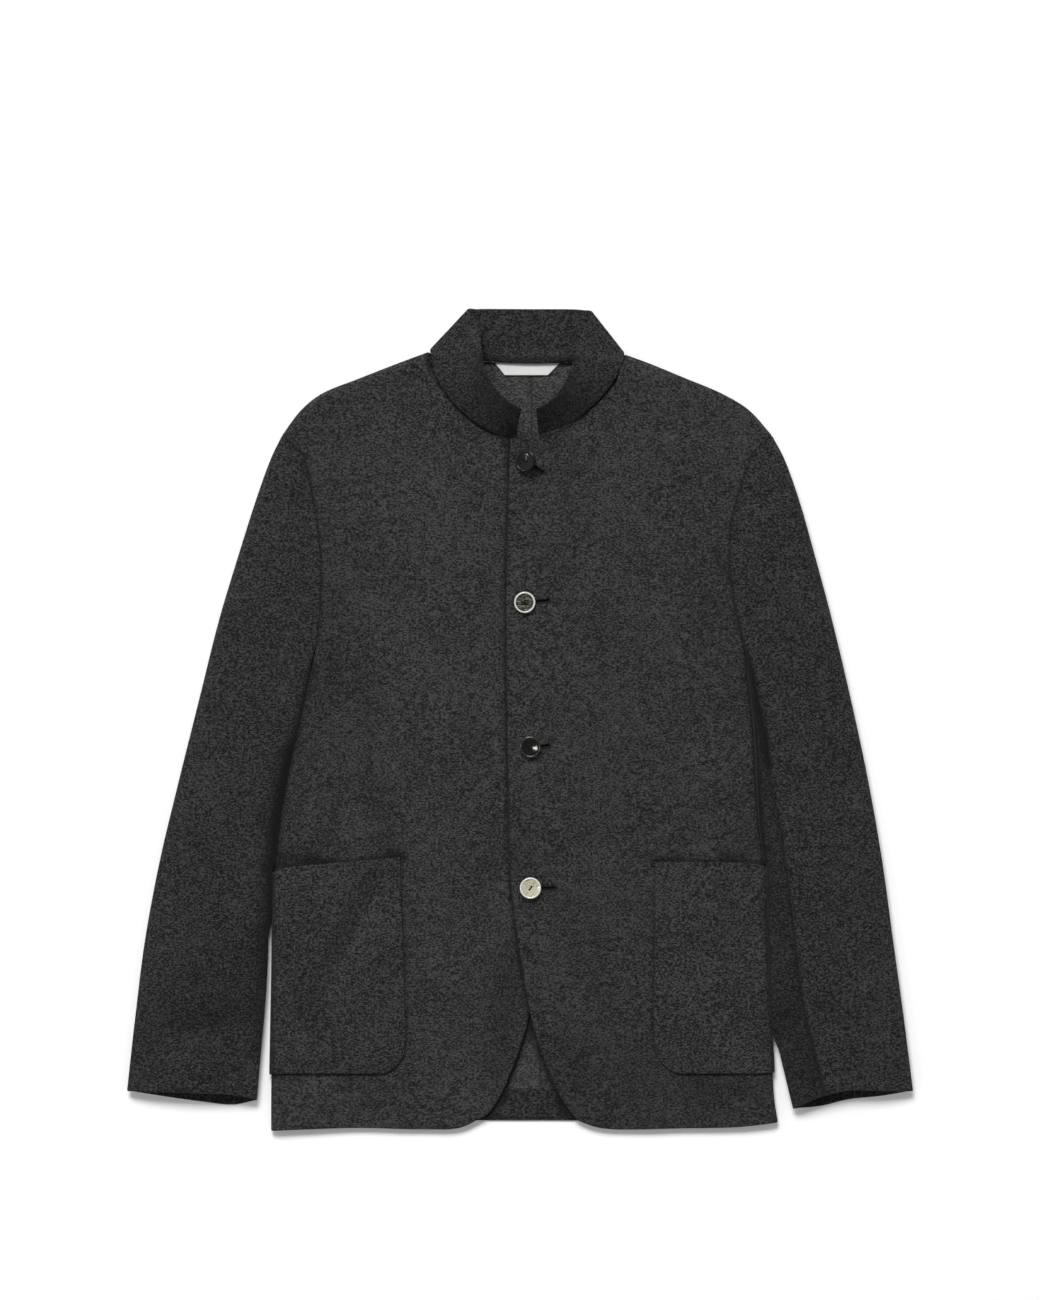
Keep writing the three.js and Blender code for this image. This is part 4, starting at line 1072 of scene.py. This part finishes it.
# Cuff edges: x, upper y, under y
cuffSections = {
    "right": [(-373.3, -352.9, -352.9), (-339, -353.7, -358.4), (-306.8, -354.6, -362.9),
              (-272, -356.4, -366.2), (-249.8, -361.5, -361.5)],
    "left": [(373.3, -352.9, -352.9), (344, -352.6, -358), (311.6, -352, -361.5),
             (286, -358, -367.6), (259.3, -370, -370)],
}
sleeveLie = {
    "head": 15.5, "elbow": 15.0, "cuff": 12.5, "edgeShare": 0.7, "hindSeam": 1 / 6,
    "flatStep": 0.028, "rows": 205, "length": 640.0,
    "touch": 0.95, "partAt": {"right": -188.0, "left": -296.0},
}
# The left forearm seam as a share across the flat, at the armhole and lower down; its dark line
forearm = {"armhole": 5 / 6, "below": 0.76, "settledBy": 0.3, "lineWidth": 1.8, "lineShare": 0.5}
sleeveFlats = {("right", "top"): (0.25, 0.66), ("right", "under"): (0.135, 0.66),
               ("left", "top"): (0.22, 0.66), ("left", "under"): (0.165, 0.66)}
sleeveShade = {("right", "top"): 1.0, ("right", "under"): 1.0,
               ("left", "top"): 1.08, ("left", "under"): 0.65}


def sleevePlans(side):
    sections = sleeveSections[side]
    outer = pathThrough([row[:2] for row in sections])
    inner = pathThrough([row[2:] for row in sections])
    armhole = pathThrough(sideOf(armholeSections[::-1], side))
    cuffs = cuffSections[side]
    upperCuff = pathThrough([(row[0], row[1]) for row in cuffs])
    underCuff = pathThrough([(row[0], row[2]) for row in cuffs])
    return [planPatch(armhole, upperCuff, outer, inner), planPatch(armhole, underCuff, outer, inner)]


def crownHeight(plans, side, u, v):
    # the front's own height at the armhole, then the sleeve's crown
    inside = np.clip(u, 0, 1)
    seam = plans[0](inside, np.zeros_like(inside))
    atSeam = frontFace(seam[..., 0], seam[..., 1], side)
    lift = np.interp(v, [0, 0.5, 1], [sleeveLie["head"], sleeveLie["elbow"], sleeveLie["cuff"]])
    across = np.sin(math.pi * inside) ** 0.8
    crown = lift * lerp(sleeveLie["edgeShare"], 1, across)
    return lerp(atSeam, crown, smoothStep(v, 0, 0.1))


def forearmShare(v):
    return lerp(forearm["armhole"], forearm["below"], smoothStep(v, 0, forearm["settledBy"]))


def shareAcross(side, layer, share, v):
    # share across the flat: on the left upper layer it follows the forearm seam
    if side == "right":
        return share
    start, seam = forearm["armhole"], forearmShare(v)
    shifted = np.where(share <= start, share * seam / start, 1 - (1 - share) * (1 - seam) / (1 - start))
    return np.where(layer == 0, shifted, share)


def forearmLine(plan):
    v = np.linspace(0, 1, 16)
    width = np.linalg.norm(plan(0.0, v) - plan(1.0, v), axis=-1)
    across = lerp(fold["sleeveRound"], width - fold["sleeveRound"], forearmShare(v))
    path = [tuple(point[:2]) for point in plan(across / width, v)]
    return [(path, forearm["lineWidth"], forearm["lineShare"])]


def sleeveRing(side, panel):
    # steps round one panel of a sleeve: layer (0 upper, 1 under), fold, share across, turn
    turns = foldTurns[::-1]
    step = sleeveLie["flatStep"]
    hind = sleeveLie["hindSeam"]
    seam = 1.0 if side == "right" else forearm["armhole"]
    upperFlat = [(0, "none", share, 90.0) for share in evenBetween(0, seam, step)[1:]]
    outerFold = [(1, "outer", 0.0, turn) for turn in foldTurns[:-1]]
    outerFold += [(0, "outer", 0.0, turn) for turn in turns]
    innerFold = [(0, "inner", 1.0, turn) for turn in foldTurns]
    innerFold += [(1, "inner", 1.0, turn) for turn in turns[1:]]
    underFlat = [(1, "none", share, 90.0) for share in np.linspace(1, hind, 32)[1:]]
    hindFlat = [(1, "none", share, 90.0) for share in evenBetween(0, hind, step)[1:]][::-1]
    if panel == "top":
        ring = hindFlat + outerFold + upperFlat
        return ring[:-1] + innerFold if side == "right" else ring
    if side == "right":
        return innerFold[-1:] + underFlat
    strip = [(0, "none", share, 90.0) for share in evenBetween(seam, 1, step)[:-1]]
    return strip + innerFold + underFlat


def neighbourEdge(side):
    # how far out the body's side, and the pocket on it, reach at each height of the plan
    path = pathThrough(sideOf(sideSections, side))(np.linspace(0, 1, 400))
    heights, reach = path[:, 1], np.abs(path[:, 0])
    pocket = pocketCut[side]
    proud = cloth["layGap"] + cloth["pocket"]
    onPocket = smoothStep(-heights, -pocket["mouthSideY"] - 1, -pocket["mouthSideY"] + 1)
    return heights, reach + proud * onPocket


def leanOf(side, plan, v):
    # how far in x the inner fold leans, so that it touches its neighbour down to where they part
    inner = plan(1.0, v)
    heights, reach = neighbourEdge(side)
    gap = np.abs(inner[..., 0]) - np.interp(inner[..., 1], heights, reach)
    parting = sleeveLie["partAt"][side]
    touching = smoothStep(inner[..., 1], parting - 22, parting + 6) * smoothStep(v, 0, 0.04)
    return (gap + sleeveLie["touch"]) * touching * (1 if side == "right" else -1)


def makeSleeve(side, panel):
    plans = sleevePlans(side)
    ring = sleeveRing(side, panel)
    layer = np.array([step[0] for step in ring])[None, :]
    edge = np.array([step[1] for step in ring])[None, :]
    share = np.array([step[2] for step in ring])[None, :]
    turn = np.radians([step[3] for step in ring])[None, :]
    length = sleeveLie["length"]
    v = np.concatenate([edgeSteps / length, np.linspace(0.005, 0.995, sleeveLie["rows"]),
                        1 - edgeSteps[::-1] / length])[:, None]
    inward = np.zeros(len(ring))
    inward[0], inward[-1] = 1, -1
    shift = (inward * np.where(layer[0] == 0, 1, -1) * -cloth["seamMeet"])[None, :]

    def surface(inset):
        widths = [np.linalg.norm(plan(0.0, v) - plan(1.0, v), axis=-1) for plan in plans]
        width = np.where(layer == 0, widths[0], widths[1])
        round = np.minimum(fold["sleeveRound"], width * 0.4)
        reach = round * (1 - np.cos(turn)) + inset * np.cos(turn)
        lean = np.where(edge == "inner", leanOf(side, plans[0], v) * np.cos(turn), 0)
        flat = lerp(round, width - round, shareAcross(side, layer, share, v))
        across = np.where(edge == "outer", reach, np.where(edge == "inner", width - reach, flat)) + shift
        u = across / width
        vHere = np.where(v <= 0, -cloth["seamMeet"] / length, v)
        point = np.where((layer == 0)[..., None], plans[0](u, vHere), plans[1](u, vHere))
        seam = lerp(fold["shoulderHeight"], fold["sleeveHeight"], smoothStep(v, 0, 0.12))
        x, y = point[..., 0] + lean, point[..., 1]
        fade = smoothStep(v, 0, 0.02)
        creases = (creaseHeight(x, y, sleeveCreases[side]) + waveHeight(x, y) * 1.6) * fade
        upper = crownHeight(plans, side, u, v) + creases - inset
        full = np.where(layer == 0, upper, inset)
        z = seam + (full - seam) * np.sin(turn)
        return np.stack([x, y, z], -1)

    thick = cloth["body"]
    left = edgeShare(surface(np.full((len(v), len(ring)), thick / 2)), allRound)
    outer, inner = surface(thick / 2 * (1 - left)), surface(thick / 2 * (1 + left))
    shade = shadeOf(outer, f"sleeve_{side}") * sleeveShade[side, panel]
    if side == "left":
        shade = shade * lineShade(outer[..., 0], outer[..., 1], forearmLine(plans[0]))
    piece = wallPiece(f"sleeve_{side}_{panel}_cloth", outer, inner, woolSleeve, shade)
    flat = sleeveFlats[side, panel]
    node = f"sleeve_{side}_{panel}"
    layCloth(piece, node, outer, flat)


for side in bothSides:
    for panel in ("top", "under"):
        makeSleeve(side, panel)
print("sleeves made")

# Collar sections round the band: seam x, y, z and top x, y, z
collarSections = {
    "right": [
        (-3.6, 268.8, 6.4, 1, 293, 31), (-29.4, 273.6, 7.2, -12.3, 301.1, 31),
        (-56.4, 292, 7.6, -25.6, 315.9, 29.5), (-73, 311.5, 8, -34.2, 333.9, 26),
        (-81.9, 330, 8.2, -37.5, 355.8, 16), (-84.2, 341.5, 8.4, -38.6, 373, 10),
        (-86.4, 350.8, 4.6, -49.4, 390.2, 5.4), (-78.5, 347, 0, -40, 390.4, 0),
    ],
    "left": [
        (17.8, 268.8, 7.4, 15.4, 293, 31), (42.6, 277.8, 7.4, 28.5, 300.7, 31),
        (66, 293.9, 7.6, 39.9, 313.5, 29.5), (84.2, 312.5, 8, 47.5, 329.2, 26),
        (94, 327.6, 8.2, 54.1, 349.1, 20.5), (99.2, 340, 8.4, 59, 366, 13),
        (99.6, 348.2, 4.6, 68.4, 387.6, 6.4), (90, 344.6, 0, 59, 389.6, 0),
    ],
}
collarLie = {"back": (10.4, 338.2, 0, 10.4, 390.2, 0), "seamShare": 0.02, "perSection": 14, "up": 26,
             "rollLift": 3.4, "rollSpread": 9.0, "rollReach": 0.02,
             "rollFrom": (0.385, 0.43), "rollTo": (0.57, 0.615), "height": 52.0}


def makeCollar():
    sections = [*collarSections["right"], collarLie["back"], *collarSections["left"][::-1]]
    seam = pathThrough([row[:3] for row in sections], byLength=False)
    top = pathThrough([row[3:] for row in sections], byLength=False)
    count = (len(sections) - 1) * collarLie["perSection"]
    ends = np.array([0, 0.0012, 0.003, 0.0055])
    shares = np.concatenate([ends, np.linspace(0.009, 0.991, count), 1 - ends[::-1]])[:, None]
    edge = edgeSteps / 45
    ups = np.concatenate([edge, np.linspace(0.06, 0.94, collarLie["up"]), 1 - edge[::-1]])
    ups = ups[None, :]

    def at(share, up):
        # the band, with its lower edge lifted over the back's neck
        behind = smoothStep(share, *collarLie["rollFrom"]) * (1 - smoothStep(share, *collarLie["rollTo"]))
        low = collarLie["seamShare"] - collarLie["rollReach"] * behind
        up = lerp(low, 1, up)
        point = lerp(seam(share), top(share), up[..., None])
        away = up * collarLie["height"] / collarLie["rollSpread"]
        roll = collarLie["rollLift"] * behind * np.exp(-(away**2))
        point[..., 2] = np.maximum(point[..., 2], 0) + roll
        return point

    step = 0.01
    grid = at(shares, ups)
    around = at(np.minimum(shares + step, 1), ups) - at(np.maximum(shares - step, 0), ups)
    rise = at(shares, np.minimum(ups + step, 1)) - at(shares, np.maximum(ups - step, 0))
    normal = np.cross(around, rise)
    normal = normal / np.linalg.norm(normal, axis=-1, keepdims=True)
    thick = cloth["collar"]
    left = edgeShare(grid, allRound)[..., None]
    outer = grid + normal * thick / 2 * (1 - left)
    inner = grid + normal * thick / 2 * (1 + left)
    piece = wallPiece("collar_cloth", outer, inner, woolCollar, shadeOf(outer, "collar"))
    layCloth(piece, "collar", outer, (0.43, 0.055))


makeCollar()

labelCut = {"topLeft": 38.0, "topRight": -23.8, "topY": 338.8, "lowLeft": 26.6, "lowRight": -14.6,
            "lowY": 327.2, "lift": 0.6}


def makeLabel():
    over = np.concatenate([edgeSteps / 60, evenBetween(0.04, 0.96, 0.02), 1 - edgeSteps[::-1] / 60])
    down = np.concatenate([edgeSteps / 12, evenBetween(0.2, 0.8, 0.06), 1 - edgeSteps[::-1] / 12])
    over, down = np.meshgrid(over, down)
    right = lerp(labelCut["topRight"], labelCut["lowRight"], down)
    left = lerp(labelCut["topLeft"], labelCut["lowLeft"], down)
    base = cloth["body"] + cloth["seamGap"] + cloth["label"] / 2
    z = base + labelCut["lift"] * down**2
    middle = np.stack([lerp(right, left, over), lerp(labelCut["topY"], labelCut["lowY"], down), z], -1)
    share = edgeShare(middle, allRound)[..., None] * cloth["label"] / 2 * np.array([0, 0, 1.0])
    piece = wallPiece("neck_label_tape", middle + share, middle - share, tape)
    layCloth(piece, "neck_label", middle, (0.062, 0.0125))


makeLabel()
print("collar and label made")

buttonCut = {"radius": 10.1, "thick": 3.6, "dish": 0.9, "cone": 0.55, "rim": 1.7, "hole": 0.9,
             "holeApart": 3.7, "gap": 0.3, "foot": 4.6, "sides": 96}


def plainMesh(name, modified):
    # the evaluated shape of an object as a mesh of its own, and the object removed
    depsgraph = bpy.context.evaluated_depsgraph_get()
    mesh = bpy.data.meshes.new_from_object(modified.evaluated_get(depsgraph))
    mesh.name = name
    bpy.data.objects.remove(modified)
    return mesh


def linkedObject(name, mesh):
    made = bpy.data.objects.new(name, mesh)
    bpy.context.scene.collection.objects.link(made)
    return made


def meshFrom(name, points, faces, material=None):
    mesh = bpy.data.meshes.new(name)
    mesh.from_pydata([tuple(point) for point in points], [], [tuple(face) for face in faces])
    if material:
        mesh.materials.append(material)
    return mesh


def latheMesh(name, profile, sides, material):
    # profile runs from the axis out and back to it
    ringRows = profile[1:-1]
    turns = np.linspace(0, 2 * math.pi, sides, endpoint=False)
    points = [(0, 0, profile[0][1]), (0, 0, profile[-1][1])]
    for r, z in ringRows:
        points += [(r * math.cos(t), r * math.sin(t), z) for t in turns]
    faces = []
    for k in range(sides):
        nextK = (k + 1) % sides
        faces.append((0, 2 + nextK, 2 + k))
        for row in range(len(ringRows) - 1):
            low, high = 2 + row * sides, 2 + (row + 1) * sides
            faces.append((low + k, low + nextK, high + nextK, high + k))
        last = 2 + (len(ringRows) - 1) * sides
        faces.append((1, last + k, last + nextK))
    return meshFrom(name, np.array(points) * toMetres, faces, material)


def buttonProfile():
    # flat back, rounded side, a raised rim and a dished middle
    size = buttonCut
    r, top = size["radius"], size["thick"]
    side = [(r - 2.0 + 2.0 * math.sin(t), top * 0.5 - top * 0.5 * math.cos(t))
            for t in np.linspace(0, math.pi / 2, 7)]
    rimMiddle = r - size["rim"] * 0.55
    rim = [(rimMiddle + size["rim"] * 0.55 * math.cos(t), top - 0.9 + 0.9 * math.sin(t))
           for t in np.linspace(0.15, math.pi * 0.93, 10)]
    dish = [(radius, top - size["dish"] - size["cone"] * (1 - radius / 7.0))
            for radius in np.linspace(7.0, 0.6, 8)]
    return [(0, 0), *side, *rim, *dish, (0, top - size["dish"] - size["cone"])]


def makeButton(number, row):
    name = f"button_{number}"
    horn = makeHorn(f"horn {number}", hornLooks[row["horn"]], row)
    blank = latheMesh(f"{name} blank", buttonProfile(), buttonCut["sides"], horn)
    body = linkedObject(f"{name} blank", blank)
    holeTurn = math.radians(row["holeTurn"])
    drills = []
    for way in (-1, 1):
        r, half = buttonCut["hole"], buttonCut["holeApart"] / 2
        drill = latheMesh("drill", [(0, -4), (r, -4), (r, 8), (0, 8)], 24, horn)
        offset = Vector((way * half * math.cos(holeTurn), way * half * math.sin(holeTurn), 0)) * toMetres
        drill.transform(Matrix.Translation(offset))
        drillObject = linkedObject("drill", drill)
        cutter = body.modifiers.new("hole", "BOOLEAN")
        cutter.operation, cutter.solver, cutter.object = "DIFFERENCE", "EXACT", drillObject
        drills.append(drillObject)
    mesh = plainMesh(f"{name}_horn", body)
    for drillObject in drills:
        bpy.data.objects.remove(drillObject)
    tiltX, tiltY = (math.radians(angle) for angle in row["tilt"])
    place = np.array([row["x"]]), np.array([row["y"]])
    seat = float(frontHeight(*place, "left")[0]) + buttonCut["gap"]
    lift = buttonCut["foot"] * (abs(math.sin(tiltX)) + abs(math.sin(tiltY)))
    at = Matrix.Translation(Vector((row["x"], row["y"], seat + lift)) * toMetres)
    turned = at @ Matrix.Rotation(tiltY, 4, "Y") @ Matrix.Rotation(tiltX, 4, "X")
    mesh.transform(turned)
    mesh.shade_smooth()
    mesh.set_sharp_from_angle(angle=math.radians(38))
    piece = linkedObject(f"{name}_horn", mesh)
    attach(piece, "root")
    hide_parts(name)
    makeButtonThread(name, turned, holeTurn)


def tubeMesh(name, line, radius, material, sides=8):
    # a round tube along a line of points, with closed ends
    line = [Vector(point) for point in line]
    points, faces = [], []
    for k, point in enumerate(line):
        way = (line[min(k + 1, len(line) - 1)] - line[max(k - 1, 0)]).normalized()
        side = way.cross(Vector((0, 0, 1)))
        side = side.normalized() if side.length > 1e-6 else Vector((1, 0, 0))
        over = way.cross(side)
        for turn in np.linspace(0, 2 * math.pi, sides, endpoint=False):
            points.append(point + (side * math.cos(turn) + over * math.sin(turn)) * radius)
    for k in range(len(line) - 1):
        for s in range(sides):
            low, high, other = k * sides, (k + 1) * sides, (s + 1) % sides
            faces.append((low + s, low + other, high + other, high + s))
    faces.append(tuple(range(sides))[::-1])
    faces.append(tuple(range((len(line) - 1) * sides, len(line) * sides)))
    return meshFrom(name, [point * toMetres for point in points], faces, material)


def makeButtonThread(name, turned, holeTurn):
    # three strands of thread lie between the holes, over the dished middle
    strands = []
    half = buttonCut["holeApart"] / 2
    floor = buttonCut["thick"] - buttonCut["dish"] - buttonCut["cone"]
    for strand in (-1, 0, 1):
        line = []
        for t in np.linspace(-1, 1, 13):
            along = half * t * 1.12
            drop = 0 if abs(t) < 0.72 else (abs(t) - 0.72) * 8
            level = floor + 0.32 + 0.18 * math.cos(t * 1.5) - drop - 0.05 * abs(strand)
            line.append((along, strand * 0.36, level))
        mesh = tubeMesh(f"{name} strand", line, 0.24, thread)
        mesh.transform(Matrix.Rotation(holeTurn, 4, "Z"))
        strands.append(mesh)
    joinedMesh = joinMeshes(f"{name}_thread", strands)
    joinedMesh.transform(turned)
    joinedMesh.shade_smooth()
    piece = linkedObject(f"{name}_thread", joinedMesh)
    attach(piece, "root")


def joinMeshes(name, meshes):
    points, faces, material = [], [], meshes[0].materials[0]
    for mesh in meshes:
        start = len(points)
        points += [tuple(vertex.co) for vertex in mesh.vertices]
        faces += [tuple(index + start for index in polygon.vertices) for polygon in mesh.polygons]
    return meshFrom(name, points, faces, material)


for number, row in enumerate(buttons, 1):
    makeButton(number, row)
print("buttons made")


def makePurlTree():
    # purl stitches side by side along a curve, each lying across it
    tree = bpy.data.node_groups.new("purl stitches", "GeometryNodeTree")
    tree.interface.new_socket("Geometry", in_out="INPUT", socket_type="NodeSocketGeometry")
    for name in ("Spacing", "Length", "Thickness"):
        tree.interface.new_socket(name, in_out="INPUT", socket_type="NodeSocketFloat")
    tree.interface.new_socket("Material", in_out="INPUT", socket_type="NodeSocketMaterial")
    tree.interface.new_socket("Geometry", in_out="OUTPUT", socket_type="NodeSocketGeometry")
    nodes, link = tree.nodes, tree.links.new
    given, made = nodes.new("NodeGroupInput"), nodes.new("NodeGroupOutput")
    points = nodes.new("GeometryNodeCurveToPoints")
    points.mode = "LENGTH"
    link(given.outputs["Geometry"], points.inputs["Curve"])
    link(given.outputs["Spacing"], points.inputs["Length"])
    stitch = nodes.new("GeometryNodeMeshIcoSphere")
    stitch.inputs["Radius"].default_value = 0.5
    stitch.inputs["Subdivisions"].default_value = 2
    size = nodes.new("ShaderNodeCombineXYZ")
    link(given.outputs["Length"], size.inputs["X"])
    link(given.outputs["Thickness"], size.inputs["Y"])
    link(given.outputs["Thickness"], size.inputs["Z"])
    uneven = nodes.new("FunctionNodeRandomValue")
    uneven.data_type = "FLOAT_VECTOR"
    uneven.inputs["Min"].default_value = (0.86, 0.9, 0.9)
    uneven.inputs["Max"].default_value = (1.12, 1.08, 1.12)
    uneven.inputs["Seed"].default_value = 5
    scaled = nodes.new("ShaderNodeVectorMath")
    scaled.operation = "MULTIPLY"
    link(size.outputs[0], scaled.inputs[0])
    link(uneven.outputs[0], scaled.inputs[1])
    align = nodes.new("FunctionNodeAlignEulerToVector")
    align.axis = "Y"
    align.pivot_axis = "Z"
    link(points.outputs["Tangent"], align.inputs["Vector"])
    placed = nodes.new("GeometryNodeInstanceOnPoints")
    link(points.outputs["Points"], placed.inputs["Points"])
    link(stitch.outputs["Mesh"], placed.inputs["Instance"])
    link(align.outputs["Rotation"], placed.inputs["Rotation"])
    link(scaled.outputs[0], placed.inputs["Scale"])
    real = nodes.new("GeometryNodeRealizeInstances")
    link(placed.outputs["Instances"], real.inputs["Geometry"])
    painted = nodes.new("GeometryNodeSetMaterial")
    link(real.outputs["Geometry"], painted.inputs["Geometry"])
    link(given.outputs["Material"], painted.inputs["Material"])
    link(painted.outputs["Geometry"], made.inputs["Geometry"])
    return tree


def buttonholePath(row):
    # once round the cut, with a wider turn round the eyelet
    half = buttonhole["halfWidth"] + buttonhole["stitchLength"] * 0.42
    eyelet = buttonhole["eyelet"] + buttonhole["stitchLength"] * 0.4
    start, end = buttonhole["from"], row["holeTo"]
    reach = math.sqrt(eyelet**2 - half**2)
    line = [(x, half) for x in np.linspace(start, end - reach, 24)]
    corner = math.atan2(half, -reach)
    line += [(end + eyelet * math.cos(t), eyelet * math.sin(t)) for t in np.linspace(corner, -corner, 18)]
    line += [(x, -half) for x in np.linspace(end - reach, start, 24)]
    slope = math.radians(row["slope"])
    turned = [(row["x"] + x * math.cos(slope) - y * math.sin(slope),
               row["y"] + x * math.sin(slope) + y * math.cos(slope)) for x, y in line]
    x, y = (np.array(part) for part in zip(*turned))
    return np.stack([x, y, frontFace(x, y, "left") + buttonhole["stitchThick"] * 0.1], -1)


def makeButtonhole(number, row, tree):
    name = f"buttonhole_{number}_purl"
    line = buttonholePath(row)
    curve = bpy.data.curves.new(name, "CURVE")
    curve.dimensions = "3D"
    spline = curve.splines.new("POLY")
    spline.points.add(len(line) - 1)
    for point, place in zip(spline.points, line):
        point.co = (*(place * toMetres), 1)
    drawn = linkedObject(f"{name} path", curve)
    modifier = drawn.modifiers.new("stitches", "NODES")
    modifier.node_group = tree
    values = {"Spacing": buttonhole["spacing"] * toMetres, "Length": buttonhole["stitchLength"] * toMetres,
              "Thickness": buttonhole["stitchThick"] * toMetres, "Material": thread}
    for item in tree.interface.items_tree:
        if item.in_out == "INPUT" and item.name in values:
            modifier[item.identifier] = values[item.name]
    mesh = plainMesh(name, drawn)
    mesh.shade_smooth()
    piece = linkedObject(name, mesh)
    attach(piece, "root")


purlTree = makePurlTree()
for number, row in enumerate(buttons, 1):
    makeButtonhole(number, row, purlTree)
print("buttonholes sewn")

stage = {
    "floor": 16.0, "floorLevel": (0.9, 0.9, 0.9),
    "cameraHeight": 3.436, "cameraY": 0.066, "lens": 100.0, "sensor": 36.0,
    "zenith": 0.06, "horizon": 0.75, "gradeFrom": 0.35, "gradeTo": 0.95,
}
lamps = [  # name, watts, size, place
    ("key", 1010.0, (5.0, 3.0), (-1.67, 6.69, 5.8)),
    ("fill", 8.0, (2.0, 2.0), (0.4, -2.2, 2.8)),
    ("window", 6.0, (0.3, 0.3), (-1.37, 0.0, 3.76)),
    ("side window", 5.0, (0.15, 0.15), (-3.4, 0.4, 2.1)),
]


def makeFloor():
    half = stage["floor"] / 2
    points = [(-half, -half, 0), (half, -half, 0), (half, half, 0), (-half, half, 0)]
    material, wire = newMaterial("pale floor")
    finishMaterial(wire, wire.make(
        "ShaderNodeBsdfPrincipled", {},
        {"Base Color": (*stage["floorLevel"], 1.0), "Roughness": 0.9, "Specular IOR Level": 0.1},
    ))
    floor = linkedObject("floor", meshFrom("floor", points, [(0, 1, 2, 3)], material))


def makeLight(name, power, size, place):
    light = bpy.data.lights.new(name, "AREA")
    light.shape = "RECTANGLE"
    light.energy = power
    light.size, light.size_y = size
    lamp = bpy.data.objects.new(name, light)
    lamp.location = place
    lamp.rotation_euler = (Vector((0, 0, 0)) - Vector(place)).to_track_quat("-Z", "Y").to_euler()
    bpy.context.scene.collection.objects.link(lamp)


def makeWorld():
    # a sky that is dark overhead, so that the polished buttons are dark, and pale low down
    world = bpy.data.worlds.new("studio")
    world.use_nodes = True
    world.node_tree.nodes.clear()
    wire = Wire(world.node_tree)
    way = wire.make("ShaderNodeTexCoord", {}, {}, 0)
    height = way.make("ShaderNodeSeparateXYZ", {}, {0: way}, 2)
    level = stage["horizon"] + (stage["zenith"] - stage["horizon"]) * height.within(
        stage["gradeFrom"], stage["gradeTo"])
    light = wire.make("ShaderNodeBackground", {}, {"Color": (1.0, 1.0, 1.0, 1.0), "Strength": level})
    output = wire.tree.nodes.new("ShaderNodeOutputWorld")
    wire.tree.links.new(light.socket, output.inputs["Surface"])
    bpy.context.scene.world = world


def makeCamera():
    data = bpy.data.cameras.new("camera")
    data.lens = stage["lens"]
    data.sensor_width = stage["sensor"]
    data.clip_end = 50
    camera = bpy.data.objects.new("camera", data)
    camera.location = (0, stage["cameraY"], stage["cameraHeight"])
    bpy.context.scene.collection.objects.link(camera)
    bpy.context.scene.camera = camera


makeFloor()
for lamp in lamps:
    makeLight(*lamp)
makeWorld()
makeCamera()
bpy.context.scene.view_settings.view_transform = "Standard"
print("stage made")
